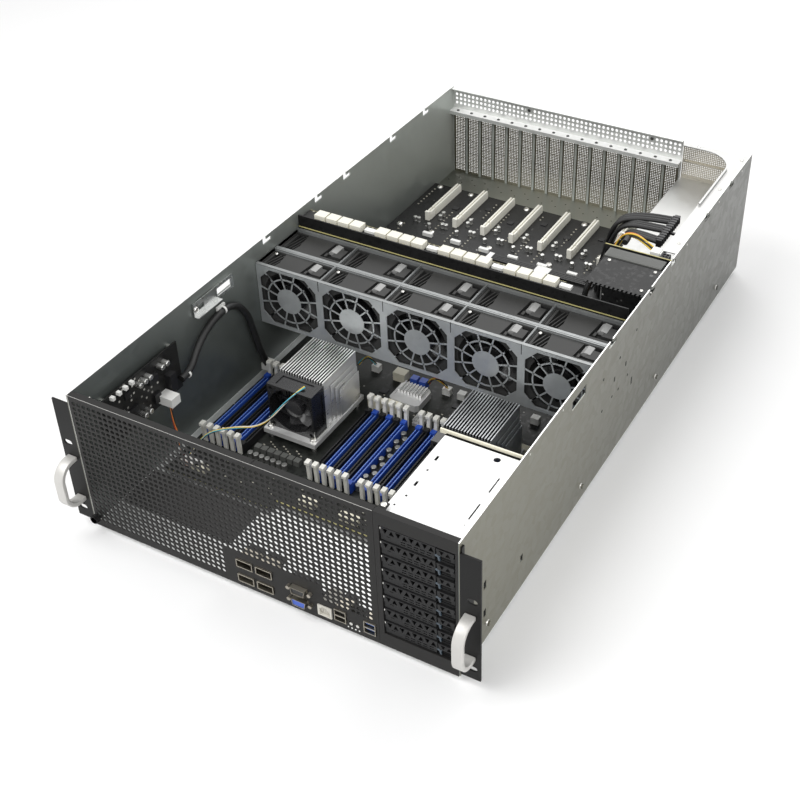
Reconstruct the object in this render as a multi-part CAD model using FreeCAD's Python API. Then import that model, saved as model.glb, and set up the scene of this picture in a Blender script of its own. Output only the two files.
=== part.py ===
import FreeCAD, Part
import math
import os

os.makedirs("parts", exist_ok=True)

# Rack server, millimetres. X runs to the right seen from the front, Y from front to back, Z up.
# The origin is the middle of the underside. Distances called depth are measured back from the
# front panel's outer face.

# Chassis
chassis_width = 440.0
chassis_depth = 800.0
chassis_height = 174.5
sheet = 1.2
fit_gap = 0.3
# Sides of the round forms that repeat, which are drawn as even polygons
few_sides = 8
many_sides = 12
stud_radius = 3.0
stud_length = 3.5
stud_height = 21.5
stud_depths = (54.7, 273.1, 491.3, 708.1)
notch_depths = (332.0, 442.0, 507.0, 622.0, 711.0)
notch_mouth = 7.0
notch_length = 16.0
notch_drop = 9.0
hatch_depths = (237.0, 271.0)
hatch_drops = (25.0, 13.0)
vent_slots = ((128.0, 42.0), (49.0, 78.0), (49.0, 40.0))
vent_slot_width = 5.0
vent_slot_height = 10.0

# Front panel and drive bay frame
flange_depth = 17.0
bay_panel_width = 86.4
flange_split = 1.5
hole_pitch = 44.0
hole_radius = 16.0
hole_margins = (24.0, 18.0, 30.0, 24.0)
port_area_width = 179.4
port_area_top = 52.0
bay_opening_width = 77.4
bay_opening_side = 3.1
bay_opening_low = 17.4
bay_opening_drop = 14.9
knob_place = (-213.0, 14.0)
knob_radius = 4.8
knob_length = 8.0

# Ports and buttons, each at (x, z) on the front panel
cage_size = (19.5, 10.0)
cage_places = ((154.9, 32.5), (131.6, 32.5), (154.9, 12.0), (131.6, 12.0))
cage_wall = 1.0
dsub_places = ((89.6, 29.8), (89.6, 14.2))
dsub_flange = (30.0, 11.6)
dsub_shell = (17.0, 8.4)
dsub_reach = 5.5
jack_place = (61.6, 13.4)
jack_size = (16.0, 13.6)
usb_places = ((43.7, 16.3), (10.2, 16.4))
usb_size = (13.2, 15.4)
port_reach = 1.4
port_body = 24.0
button_places = {"power_button": (31.7, 11.4), "locate_button": (24.3, 11.4)}
button_radius = 2.2
button_reach = 1.0
button_length = 7.0
button_travel = 1.5
switch_size = (3.0, 8.0, 3.0)
slide_gap = 0.06

# Drive cage, trays and levers
tray_pitch = 17.6
bezel_clearance = 0.8
tray_clearance = 0.6
bezel_depth = 8.6
bezel_front = 0.4
lever_width = 24.6
lever_thickness = 4.8
lever_lip = 1.5
pin_radius = 1.0
pin_clearance = 0.06
drive_width = 69.8
drive_depth = 95.0
drive_height = 14.0
drive_lift = 1.2
runner_height = 9.0
guide_width = 1.6
guide_thickness = 1.0
guide_depths = (12.0, 100.0)
cage_slot = (2.0, 9.0)
cage_slot_sides = (5.0, 8.0)
cage_slot_depths = (42.0, 74.0, 106.0)
drive_cage_drop = 6.3
drive_cage_depth = 127.0
drive_cage_wall = 1.0
bay_floor_drop = 1.0
crossbar = (89.8, 128.5, 132.0, 8.0, 3.0)
backplane_gap = 3.5
backplane_thickness = 1.6

# Rack ears and handles
ear_width = 21.3
ear_thickness = 2.0
ear_low = 5.5
ear_drop = 12.0
ear_leg_depth = 24.0
ear_leg_thickness = 1.6
ear_tab_drop = 5.5
rack_hole_offset = 12.55
rack_hole_heights = (19.2, 108.1)
rack_hole_radius = 3.4
rack_slot_length = 10.6
handle_heights = (27.0, 92.0)
handle_reach = 33.0
handle_strip = 5.5
handle_width = 12.0
handle_corner = 20.0
handle_bends = 5

# Motherboard
board_bottom = 6.4
board_thickness = 1.6
board_fronts = (98.0, 112.0)
board_step = -65.0
board_back = 403.0
board_side = 13.8
port_board = (180.4, 1.4, 3.0, 26.0)
port_board_bottom = 4.8
port_board_posts = ((172.0, 15.0), (106.0, 15.0), (8.0, 15.0))
board_notch = (126.0, 136.0)
post_radius = 3.0
board_post_side = 9.0
board_post_depths = (150.0, 392.0)
board_posts = ((-60.0, 122.0), (110.0, 122.0))
choke_count = 7
choke_pitch = 8.8
choke_size = 7.4
choke_start = (-133.5, 168.0)
chip_place = (-25.0, 330.0)

# Memory sockets and their latches
bank_starts = (-194.5, -53.4, 14.2, 156.0)
bank_size = 6
socket_pitch = 9.5
socket_width = 6.6
socket_depths = (158.6, 281.4)
socket_height = 10.5
socket_groove = 2.4
socket_groove_depth = 5.0
latch_width = 5.4
latch_height = 30.0
latch_foot = 3.6
latch_head = 7.2
latch_gap = 0.5

# CPU heatsinks and fans
heatsink_centres = {"left": -103.0, "right": 106.5}
cpu_socket_size = (58.0, 70.0, 8.0)
sink_base = (34.5, 194.0, 298.0, 6.0)
fin_pitch = 3.5
fin_thickness = 1.0
fin_main_count = 17
fin_side_count = 3
fin_side_pitch = 4.0
fin_front = 227.0
fin_back = 296.0
fin_side_fronts = (250.0, 236.0)
fin_side_back = 282.0
fin_top = 85.0
cpu_fan_size = 60.0
cpu_fan_depth = 25.0
cpu_fan_bore = 28.2
cpu_rotor_radius = 27.0
cpu_hub_radius = 11.5
cpu_blades = 7
cpu_chords = (7.6, 15.0)

# Fan cage, fan modules and wall rotors
wall_fan_count = 5
fan_pitch = 86.2
fan_centre = -2.6
fan_hub_height = 110.3
cage_front = 313.0
cage_sheet = 1.0
cage_bottom = 69.0
cage_top = 151.0
cage_flange = 2.6
cage_rail = 6.0
front_row_depth = 35.4
rear_row_depth = 41.4
cage_back_flange = 6.5
window_half_width = 38.6
window_half_height = 36.8
window_corner = 14.0
grille_hub = 16.5
grille_ring = 29.2
grille_bar = 1.8
grille_spokes = 12
module_top = 148.3
module_bore = 36.0
module_recess_depth = 8.0
module_recess_length = 19.0
module_latch = (22.0, 16.0, 2.6)
module_cap = (10.0, 9.0, 1.6)
motor_radius = 16.5
motor_mount = 5.0
strut_width = 3.0
strut_count = 3
strut_start = 30.0
root_pitch = 56.0
tip_pitch = 30.0
blade_thickness = 1.4
rotor_radius = 35.2
wall_blades = 5
wall_chords = (15.5, 27.0)
hub_setback = 4.0
shaft_radius = 2.0
shaft_clearance = 0.06
running_gap = 0.6

# Card board, slots and their posts
card_board = (0.8, 1.0, 428.0, 741.0)
card_board_bottom = 45.0
card_board_thickness = 2.0
card_slot_count = 8
card_slot_side = 41.5
card_slot_pitch = 42.75
card_slot_size = (7.6, 89.0, 11.0)
card_slot_front = 648.0
card_slot_groove = 2.0

# Power board behind the fans
riser_depths = (402.4, 404.0)
riser_drop = 4.5
power_board_back = 428.0
power_board_drop = 12.1
power_board_thickness = 1.6
plug_groups = (-198.7, -114.1, -29.0, 55.5)
plug_pitch = 16.5
plug_width = 16.2
plug_count = 4
plug_depths = (409.0, 422.0)
plug_height = 8.0

# Supply backplane, its connector block and its cover plate
supply_board = (81.8, 0.4, 512.0, 2.5)
supply_block = (69.8, 2.8, 490.0, 14.5)
supply_cover = (72.8, 430.0, 6.1, 1.6)
cable_plug_places = (72.8, 55.8, 38.8)
cable_plug_size = (14.0, 20.0, 12.0)

# Power supplies and their cage
supply_count = 3
supply_width = 86.0
supply_height = 36.9
supply_front = 535.0
supply_gap = 0.35
supply_cage_reach = 91.8
supply_cage_sheet = 1.0
supply_cage_front = 533.0
mate_span = (24.0, 74.0)
mate_heights = (8.0, 20.0)
supply_handle_reach = 25.0
supply_socket_length = 20.0
gusset = (18.8, 533.0, 6.5, 1.2)
gusset_band = 790.0
gusset_radius = 40.0
gusset_lip = 6.0
rib_depths = (650.0, 750.0)
rib_height = 10.0
bar_heights = (141.5, 144.5)
bar_end = 31.8
bar_gap = 6.0

# Rear panel and slot covers
cover_count = 16
cover_side = 1.2
cover_pitch = 21.4
cover_width = 20.4
cover_heights = (40.7, 142.0)
cover_tab = 10.0
window_sides = (3.8, 5.0)
low_shelf_height = 39.5
low_shelf_front = 743.0
screw_shelf_front = 786.0
strip_hole_pitch = 44.0
strip_hole_radius = 5.0
strip_hole_drops = (23.0, 10.0)

# Side board on the left wall
side_board = (36.0, 155.0, 82.0, 143.0)
side_board_gap = 6.0
side_plug = (68.0, 16.0, 9.0, 6.0, 14.0)
side_socket = (97.0, 16.0, 8.0, 8.0, 14.0)
side_board_thickness = 1.6

# Cables inside the machine, each a list of points (x, depth, z) along its real route
thin_lead = 2.0
bundle_width = 9.0
bundle_route = (
    (-206.5, 149.0, 97.0),
    (-206.5, 165.0, 97.0),
    (-209.5, 186.0, 117.0),
    (-212.5, 216.0, 130.0),
    (-212.5, 256.0, 132.0),
    (-211.5, 279.0, 106.0),
    (-211.0, 287.0, 68.0),
    (-210.0, 296.0, 34.0),
    (-209.0, 303.0, 12.6),
)
lead_width = 2.6
left_lead_route = (
    (-90.0, 214.0, 83.1),
    (-95.0, 193.0, 83.1),
    (-120.0, 174.0, 54.0),
    (-152.0, 154.0, 46.0),
    (-178.0, 133.0, 40.0),
    (-190.0, 118.0, 9.4),
)
right_lead_route = (
    (116.0, 214.0, 83.1),
    (111.0, 193.0, 83.1),
    (97.0, 172.0, 50.0),
    (89.0, 150.0, 24.0),
    (86.0, 138.0, 9.4),
)
plug_lead_width = 3.8
plug_lead_route = (
    (-206.0, 112.0, 88.0),
    (-206.0, 112.0, 74.0),
    (-190.0, 108.0, 48.0),
    (-184.0, 108.0, 28.0),
    (-184.0, 108.0, 8.1),
)
supply_cable_width = 8.0
supply_cable_route = (
    (153.0, 533.6, 166.0),
    (153.0, 556.0, 166.0),
    (124.0, 576.0, 130.0),
    (104.0, 566.0, 88.0),
    (98.0, 552.0, 66.0),
    (98.0, 552.0, 47.1),
)
card_cable = (-60.0, 92.0, 592.0, 606.0, 4.0)

V = FreeCAD.Vector
front = -chassis_depth / 2
half_width = chassis_width / 2
inner_half = half_width - sheet
board_top = board_bottom + board_thickness
cage_floor_top = cage_bottom + cage_sheet
panel_split = inner_half - bay_panel_width
bay_right = inner_half - bay_opening_side
bay_left = bay_right - bay_opening_width
bay_top = chassis_height - bay_opening_drop
tray_count = int((bay_top - bay_opening_low) / tray_pitch)
tray_top = bay_top - bezel_clearance
bezel_left = bay_left + bezel_clearance
bezel_width = bay_opening_width - 2 * bezel_clearance
bezel_height = tray_pitch - tray_clearance
bay_floor_height = bay_opening_low - bay_floor_drop
drive_cage_top = chassis_height - drive_cage_drop
ear_heights = (ear_low, chassis_height - ear_drop)
board_half_width = inner_half - board_side
port_board_top = port_board_bottom + board_thickness
supply_cage_left = inner_half - supply_cage_reach
window_left = window_sides[0] - inner_half
window_right = supply_cage_left - window_sides[1]
card_board_top = card_board_bottom + card_board_thickness


def at(x, depth, z):
    return V(x, front + depth, z)


def block(x0, x1, depth0, depth1, z0, z1):
    return Part.makeBox(x1 - x0, depth1 - depth0, z1 - z0, at(x0, depth0, z0))


def prism(corners, run):
    return Part.Face(Part.makePolygon(corners + corners[:1])).extrude(run)


def front_prism(points, depth0, depth1):
    """Points are (x, z), pushed back along Y."""
    return prism([at(x, depth0, z) for x, z in points], V(0, depth1 - depth0, 0))


def side_prism(points, x0, x1):
    """Points are (depth, z), pushed along X."""
    return prism([at(x0, depth, z) for depth, z in points], V(x1 - x0, 0, 0))


def plan_prism(points, z0, z1):
    """Points are (x, depth), pushed up."""
    return prism([at(x, depth, z0) for x, depth in points], V(0, 0, z1 - z0))


def round_outline(a, b, radius, sides):
    """Even polygon about (a, b) with its corners on the radius and a flat at the top."""
    angles = [math.pi * (2 * i + 1) / sides for i in range(sides)]
    return [(a + radius * math.sin(t), b + radius * math.cos(t)) for t in angles]


def clear_radius(radius, sides):
    """Corner radius of a polygon whose flats stay outside the radius."""
    return radius / math.cos(math.pi / sides)


def bar_along_y(x, z, radius, depth0, depth1, sides):
    return front_prism(round_outline(x, z, radius, sides), depth0, depth1)


def post(x, depth, z0, z1):
    return plan_prism(round_outline(x, depth, post_radius, 6), z0, z1)


def joined(shapes):
    return shapes[0].multiFuse(shapes[1:]).removeSplitter()


def cut_all(shape, tools):
    return shape.cut(Part.makeCompound(tools))


def save(node, solids):
    Part.makeCompound(solids).exportStep("parts/" + node + ".step")


def chassis_tray():
    floor = block(-half_width, half_width, sheet, chassis_depth - sheet, 0, sheet)
    walls = [block(s * half_width - (s > 0) * sheet, s * half_width + (s < 0) * sheet,
                   0, chassis_depth, 0, chassis_height) for s in (-1, 1)]
    studs = [side_prism(round_outline(depth, stud_height, stud_radius, few_sides),
                        s * half_width, s * (half_width + stud_length)) for s in (-1, 1) for depth in stud_depths]
    across = half_width + 1
    hooks = [side_prism(hook_outline(depth), -across, across) for depth in notch_depths]
    hatch_heights = [chassis_height - drop for drop in hatch_drops]
    hatch = block(-across, across, *hatch_depths, *hatch_heights)
    slots = [block(inner_half - 1, across, depth - vent_slot_width / 2, depth + vent_slot_width / 2,
                   z - vent_slot_height / 2, z + vent_slot_height / 2) for depth, z in vent_slots]
    return cut_all(joined([floor] + walls + studs), hooks + [hatch] + slots)


def hook_outline(depth):
    """A mouth in the wall's top edge that turns back into a short slot, where the cover hooks in."""
    top = chassis_height
    floor = top - notch_drop
    roof = top - notch_drop / 2
    return [(depth, top + 1), (depth, floor), (depth + notch_length, floor), (depth + notch_length, roof),
            (depth + notch_mouth, roof), (depth + notch_mouth, top + 1)]


def front_panel():
    left = -inner_half
    face = block(left, panel_split, 0, sheet, 0, chassis_height)
    flange = block(left, panel_split, 0, flange_depth, chassis_height - sheet, chassis_height)
    split = block(flange_split - 0.4, flange_split + 0.4, sheet, flange_depth + 1,
                  chassis_height - sheet - 1, chassis_height + 1)
    panel = cut_all(joined([face, flange]), panel_holes() + port_holes() + [split])
    knob = bar_along_y(knob_place[0], knob_place[1], knob_radius, -knob_length, 0, many_sides)
    return [panel, bay_frame(), knob]


def panel_holes():
    left, right, low, drop = hole_margins
    x0 = left - inner_half
    x1 = panel_split - right
    z0 = low
    z1 = chassis_height - drop
    row_pitch = hole_pitch * math.sqrt(3) / 2
    rows = int((z1 - z0) / row_pitch) + 1
    holes = []
    for row in range(rows):
        z = z1 - row * row_pitch
        x = x0 + (row % 2) * hole_pitch / 2
        while x <= x1:
            if x < panel_split - port_area_width - hole_radius or z > port_area_top + hole_radius:
                holes.append(bar_along_y(x, z, hole_radius, -1, sheet + 1, 6))
            x += hole_pitch
    return holes


def port_holes():
    holes = [panel_hole(place, size) for place, size in all_ports()]
    for offset, z in button_places.values():
        x = panel_split - offset
        holes.append(bar_along_y(x, z, clear_radius(button_radius + slide_gap, many_sides), -1, sheet + 1, many_sides))
    return holes


def all_ports():
    ports = [(place, cage_size) for place in cage_places]
    ports += [(place, dsub_shell) for place in dsub_places]
    ports += [(jack_place, jack_size)]
    ports += [(place, usb_size) for place in usb_places]
    return ports


def from_split(place):
    """Places on the front are (distance left of the panel's split, height)."""
    return panel_split - place[0], place[1]


def panel_hole(place, size):
    x, z = from_split(place)
    w = size[0] / 2 + fit_gap
    h = size[1] / 2 + fit_gap
    return block(x - w, x + w, -1, sheet + 1, z - h, z + h)


def bay_frame():
    face = block(panel_split + fit_gap, inner_half, 0, sheet, 0, chassis_height)
    flange = block(panel_split + fit_gap, inner_half, 0, flange_depth, chassis_height - sheet, chassis_height)
    return joined([face, flange]).cut(block(bay_left, bay_right, -1, sheet + 1, bay_opening_low, bay_top))


def tray_bottom(index):
    return tray_top - index * tray_pitch - bezel_height


def drive_cage():
    left = bezel_left - fit_gap - guide_width - drive_cage_wall
    right = inner_half
    wall = drive_cage_wall
    sides = [block(x, x + wall, sheet + fit_gap, crossbar[2], sheet, drive_cage_top) for x in (left, right - wall)]
    top = block(left, right, flange_depth, drive_cage_depth, drive_cage_top - wall, drive_cage_top)
    shelf = block(left, right, sheet + fit_gap, drive_cage_depth, bay_floor_height, bay_floor_height + wall)
    reach, bar_front, bar_back, low_drop, top_drop = crossbar
    bar = block(right - reach, right, bar_front, bar_back, chassis_height - low_drop, chassis_height - top_drop)
    guides = []
    for index in range(tray_count):
        z = tray_bottom(index) - guide_thickness - fit_gap / 2
        if index < tray_count - 1:
            guides.append(block(left, left + wall + guide_width, *guide_depths, z, z + guide_thickness))
            guides.append(block(right - wall - guide_width, right, *guide_depths, z, z + guide_thickness))
    slot_width, slot_length = cage_slot
    slots = [block(x, x + slot_width, depth, depth + slot_length, drive_cage_top - 2 * wall, drive_cage_top + 1)
             for x in (left + cage_slot_sides[0], right - cage_slot_sides[1]) for depth in cage_slot_depths]
    return [cut_all(joined([sides[0], sides[1], top, shelf, bar] + guides), slots)] + backplane(left, right)


def backplane(left, right):
    face = bezel_front + bezel_depth + drive_depth + backplane_gap
    low = bay_floor_height + drive_cage_wall
    board = block(left + drive_cage_wall, right - drive_cage_wall, face, face + backplane_thickness,
                  low, drive_cage_top - drive_cage_wall)
    centre = bezel_left + bezel_width / 2
    plugs = [block(centre - 22, centre + 22, face - backplane_gap + fit_gap, face,
                   tray_bottom(i) + 5, tray_bottom(i) + 11) for i in range(tray_count)]
    return [joined([board] + plugs)]


def drive_tray(index):
    """Bezel with the lever's seat and pin, and a runner on each side of the drive."""
    left = bezel_left
    right = bezel_left + bezel_width
    low = tray_bottom(index)
    back = bezel_front + bezel_depth
    bezel = block(left, right, bezel_front, back, low, low + bezel_height)
    seat = block(right - lever_width - fit_gap, right + 1, -1, bezel_front + lever_thickness + fit_gap,
                 low + lever_lip, low + bezel_height - lever_lip)
    pivot = lever_pivot()
    pin = plan_prism(round_outline(*pivot, pin_radius, few_sides), low + lever_lip, low + bezel_height - lever_lip)
    drive_left = left + (bezel_width - drive_width) / 2
    runners = [block(x0, x1, back, back + drive_depth, low, low + runner_height)
               for x0, x1 in ((left, drive_left), (drive_left + drive_width, right))]
    drive = block(drive_left, drive_left + drive_width, back, back + drive_depth,
                  low + drive_lift, low + drive_lift + drive_height)
    return [joined([bezel.cut(seat), pin] + runners), drive]


def lever_pivot():
    """Pin centre as (x, depth)."""
    radius = lever_thickness / 2
    return bezel_left + bezel_width - radius - fit_gap, bezel_front + radius


def tray_lever(index):
    """Flat bar whose right end is rounded about the pin."""
    low = tray_bottom(index)
    x, depth = lever_pivot()
    radius = lever_thickness / 2
    left = bezel_left + bezel_width - lever_width
    z0 = low + lever_lip + fit_gap / 2
    z1 = low + bezel_height - lever_lip - fit_gap / 2
    nose = [(x + radius * math.cos(t), depth + radius * math.sin(t))
            for t in [math.radians(-90 + 45 * i) for i in range(5)]]
    bar = plan_prism([(left, depth + radius), (left, depth - radius)] + nose, z0, z1)
    hole = round_outline(x, depth, clear_radius(pin_radius + pin_clearance, few_sides), few_sides)
    return bar.cut(plan_prism(hole, z0 - 1, z1 + 1))


def rack_ear(side):
    outer = side * (half_width + ear_width)
    inner = side * half_width
    x0, x1 = sorted((inner, outer))
    plate = block(x0, x1, 0, ear_thickness, *ear_heights)
    leg0, leg1 = sorted((inner, inner + side * ear_leg_thickness))
    leg = block(leg0, leg1, 0, ear_leg_depth, *ear_heights)
    tab = block(leg0, leg1, ear_thickness, ear_leg_depth, ear_low, chassis_height - ear_tab_drop)
    slots = [rack_slot(side * (half_width + rack_hole_offset), z) for z in rack_hole_heights]
    return cut_all(joined([plate, leg, tab]), slots)


def rack_slot(x, z):
    """Slot with a round end on each side."""
    r = rack_hole_radius
    reach = rack_slot_length / 2 - r
    edges = [
        Part.makeLine(at(x - reach, -1, z - r), at(x + reach, -1, z - r)),
        Part.Arc(at(x + reach, -1, z - r), at(x + reach + r, -1, z), at(x + reach, -1, z + r)).toShape(),
        Part.makeLine(at(x + reach, -1, z + r), at(x - reach, -1, z + r)),
        Part.Arc(at(x - reach, -1, z + r), at(x - reach - r, -1, z), at(x - reach, -1, z - r)).toShape(),
    ]
    return Part.Face(Part.Wire(edges)).extrude(V(0, ear_thickness + 2, 0))


def rack_handle(side):
    """Flat strip bent to a D."""
    x = side * (half_width + ear_width / 2) - handle_width / 2
    z0, z1 = handle_heights
    outer = bent_run(z0, z1, handle_reach, handle_corner)
    inner = bent_run(z0 + handle_strip, z1 - handle_strip, handle_reach - handle_strip,
                     handle_corner - handle_strip)
    return side_prism(outer + inner[::-1], x, x + handle_width)


def bent_run(z0, z1, reach, corner):
    """Points (depth, z) that leave the ear at z0, turn up, and come back to it at z1."""
    turns = [math.radians(90 * i / handle_bends) for i in range(handle_bends + 1)]
    low = [(corner - reach - corner * math.sin(t), z0 + corner - corner * math.cos(t)) for t in turns]
    high = [(depth, z0 + z1 - z) for depth, z in low[::-1]]
    return [(0, z0)] + low + high + [(0, z1)]


def motherboard():
    left_front, right_front = board_fronts
    notch_x, notch_depth = board_notch
    outline = [(-board_half_width, left_front), (board_step, left_front), (board_step, right_front),
               (notch_x, right_front), (notch_x, notch_depth), (board_half_width, notch_depth),
               (board_half_width, board_back), (-board_half_width, board_back)]
    board = plan_prism(outline, board_bottom, board_top)
    edge = board_half_width - board_post_side
    places = [(s * edge, depth) for s in (-1, 1) for depth in board_post_depths] + list(board_posts)
    posts = [post(x, depth, sheet, board_bottom) for x, depth in places]
    chokes = [block(choke_start[0] + choke_pitch * i, choke_start[0] + choke_pitch * i + choke_size,
                    choke_start[1], choke_start[1] + choke_size, board_top, board_top + 7)
              for i in range(choke_count)]
    chip = block(chip_place[0], chip_place[0] + 40, chip_place[1], chip_place[1] + 40, board_top, board_top + 12)
    return [board] + posts + chokes + [chip] + front_board() + ports() + side_card()


def front_board():
    """Small low board behind the ports, on its own posts."""
    left, right, d0, d1 = port_board
    board = block(panel_split - left, panel_split - right, d0, d1, port_board_bottom, port_board_top)
    posts = [post(panel_split - offset, depth, sheet, port_board_bottom) for offset, depth in port_board_posts]
    return [board] + posts


def ports():
    shapes = [port_cage(place) for place in cage_places]
    shapes += [dsub(place) for place in dsub_places]
    shapes.append(hollow_port(jack_place, jack_size))
    shapes += [hollow_port(place, usb_size) for place in usb_places]
    back = button_length - button_reach + button_travel + fit_gap
    half, length, rise = switch_size
    switches = []
    for place in button_places.values():
        x, z = from_split(place)
        switches.append(block(x - half, x + half, back, back + length, port_board_top, z + rise))
    return shapes + switches


def port_cage(place):
    x, z = from_split(place)
    w = cage_size[0] / 2
    h = cage_size[1] / 2
    upper = z > cage_places[2][1]
    body = block(x - w, x + w, -port_reach, port_body, z - h, z + h)
    hollow = block(x - w + cage_wall, x + w - cage_wall, -port_reach - 1, port_body - 6,
                   z - h + cage_wall, z + h - cage_wall)
    low = cage_places[2][1] + h if upper else port_board_top
    stand = block(x - w + 2, x + w - 2, 8, port_body, low, z - h)
    return joined([body.cut(hollow), stand])


def dsub(place):
    x, z = from_split(place)
    w, h = dsub_flange
    flange = block(x - w / 2, x + w / 2, sheet, sheet + 1.5, z - h / 2, z + h / 2)
    sw, sh = dsub_shell
    shell = front_prism([(x - sw / 2, z + sh / 2), (x + sw / 2, z + sh / 2),
                         (x + sw / 2 - 1.6, z - sh / 2), (x - sw / 2 + 1.6, z - sh / 2)],
                        -dsub_reach, sheet)
    low = port_board_top if z < dsub_places[0][1] else dsub_places[1][1] + h / 2
    body = block(x - w / 2 + 2, x + w / 2 - 2, sheet + 1.5, 16, low, z + h / 2 - 1)
    return joined([flange, shell, body])


def hollow_port(place, size):
    x, z = from_split(place)
    w = size[0] / 2
    h = size[1] / 2
    body = block(x - w, x + w, -port_reach, port_body, z - h, z + h)
    mouth = block(x - w + 1, x + w - 1, -port_reach - 1, port_body - 8, z - h + 1.4, z + h - 1)
    stand = block(x - w + 1, x + w - 1, 4, port_body, port_board_top, z - h)
    return joined([body.cut(mouth), stand])


def side_card():
    d0, d1, z0, z1 = side_board
    x0 = -inner_half + side_board_gap
    x1 = x0 + side_board_thickness
    card = block(x0, x1, d0, d1, z0, z1)
    posts = [side_prism(round_outline(d, z, post_radius, 6), -inner_half, x0)
             for d in (d0 + 8, d1 - 8) for z in (z0 + 8, z1 - 8)]
    plugs = [block(x1, x1 + reach, d0 + start, d0 + start + length, z0 + low, z0 + low + height)
             for start, length, reach, low, height in (side_plug, side_socket)]
    return [card] + plugs + posts


def button(name):
    x, z = from_split(button_places[name])
    cap = bar_along_y(x, z, button_radius, -button_reach, button_length - button_reach, many_sides)
    collar = block(x - button_radius - 1, x + button_radius + 1, sheet + fit_gap, sheet + fit_gap + 1.2,
                   z - button_radius - 0.6, z + button_radius + 0.6)
    return joined([cap, collar])


def socket_places():
    return [start + i * socket_pitch for start in bank_starts for i in range(bank_size)]


def dimm_slots():
    d0, d1 = socket_depths
    z0 = board_top
    z1 = board_top + socket_height
    sockets = []
    for x in socket_places():
        w = socket_width / 2
        g = socket_groove / 2
        low = z1 - socket_groove_depth
        outline = [(x - w, z0), (x + w, z0), (x + w, z1), (x + g, z1),
                   (x + g, low), (x - g, low), (x - g, z1), (x - w, z1)]
        sockets.append(front_prism(outline, d0, d1))
    return sockets


def latch_outline(toward):
    """Side view of a latch, as (depth from the socket end, height above the board)."""
    near = latch_gap
    points = [(near, latch_gap), (near + latch_foot, latch_gap), (near + latch_head, latch_height),
              (near, latch_height)]
    return [(toward * d, z) for d, z in points]


def dimm_latches(toward):
    end = socket_depths[0] if toward < 0 else socket_depths[1]
    outline = [(end + d, board_top + z) for d, z in latch_outline(toward)]
    return [side_prism(outline, x - latch_width / 2, x + latch_width / 2) for x in socket_places()]


def heatsink(centre):
    half_base, base_front, base_back, base_thickness = sink_base
    socket_x, socket_depth, socket_top = cpu_socket_size
    mid = (fin_front + fin_back) / 2
    cpu_socket = block(centre - socket_x / 2, centre + socket_x / 2, mid - socket_depth / 2,
                       mid + socket_depth / 2, board_top, board_top + socket_top)
    z0 = board_top + socket_top
    z1 = z0 + base_thickness
    base = block(centre - half_base, centre + half_base, base_front, base_back, z0, z1)
    main = comb(centre - fin_pitch * (fin_main_count - 1) / 2, fin_pitch, fin_main_count, fin_front, fin_back, z1)
    spread = fin_pitch * (fin_main_count - 1) / 2
    left = comb(centre - spread - fin_side_pitch * fin_side_count, fin_side_pitch, fin_side_count,
                fin_side_fronts[0], fin_back, z1)
    right = comb(centre + spread + fin_side_pitch, fin_side_pitch, fin_side_count,
                 fin_side_fronts[1], fin_side_back, z1)
    wing_left = block(centre - spread - fin_side_pitch * fin_side_count - 0.5, centre - half_base,
                      fin_side_fronts[0], fin_back, z0, z1)
    wing_right = block(centre + half_base, centre + spread + fin_side_pitch * fin_side_count + 0.5,
                       fin_side_fronts[1], fin_side_back, z0, z1)
    return [joined([base, main, left, right, wing_left, wing_right]), cpu_socket, cpu_fan_frame(centre, z1)]


def comb(first, pitch, count, depth0, depth1, low):
    """Fins cut from one block, standing on a thin web."""
    last = first + pitch * (count - 1)
    half = fin_thickness / 2
    solid = block(first - half, last + half, depth0, depth1, low - 1, fin_top)
    gaps = [block(first + pitch * i + half, first + pitch * (i + 1) - half, depth0 - 1, depth1 + 1,
                  low, fin_top + 1) for i in range(count - 1)]
    return cut_all(solid, gaps)


def cpu_fan_centre(centre):
    low = board_top + cpu_socket_size[2] + sink_base[3] + fit_gap / 2
    return centre, low + cpu_fan_size / 2


def cpu_fan_frame(centre, low):
    x, z = cpu_fan_centre(centre)
    half = cpu_fan_size / 2
    back = fin_front
    start = back - cpu_fan_depth
    body = block(x - half, x + half, start, back, low, low + cpu_fan_size)
    return fan_body(body, x, z, start, back, cpu_fan_bore, cpu_hub_radius)


def fan_body(shell, x, z, start, back, bore, hub):
    """Cuts the bore and adds the motor seat with its shaft bore and the struts that hold it."""
    reach = clear_radius(bore, many_sides)
    tunnel = bar_along_y(x, z, reach, start - 1, back + 1, many_sides)
    depth0 = back - motor_mount
    seat = bar_along_y(x, z, hub, depth0, back, few_sides)
    struts = []
    for i in range(strut_count):
        strut = Part.makeBox(bore + 1, motor_mount, strut_width, V(0, 0, -strut_width / 2))
        strut.rotate(V(0, 0, 0), V(0, 1, 0), strut_start + 360 * i / strut_count)
        strut.translate(at(x, depth0, z))
        struts.append(strut)
    spider = joined([seat] + struts).common(tunnel)
    hole = bar_along_y(x, z, clear_radius(shaft_radius + shaft_clearance, few_sides), depth0 - 1, back + 1, few_sides)
    return joined([shell.cut(tunnel), spider]).cut(hole)


def rotor(x, z, start, back, tip, hub, blades, root_chord, chord):
    """Hub, shaft and twisted blades, each narrow and steep at its root, wide and flatter at its tip."""
    face = back - motor_mount - running_gap
    core = bar_along_y(x, z, hub, start, face, 2 * blades)
    shaft = bar_along_y(x, z, shaft_radius, face, back - 1, few_sides)
    middle = (start + face) / 2
    half_span = chord * math.cos(math.radians(tip_pitch)) / 2 + blade_thickness
    root = blade_section(hub * 0.8, root_chord, root_pitch)
    outer = blade_section(math.sqrt(tip ** 2 - half_span ** 2), chord, tip_pitch)
    blade = twisted_solid(root, outer)
    wheel = []
    for i in range(blades):
        copy = blade.copy()
        copy.rotate(V(0, 0, 0), V(0, 1, 0), 360 * i / blades)
        copy.translate(at(x, middle, z))
        wheel.append(copy)
    return joined([core, shaft] + wheel)


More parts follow.
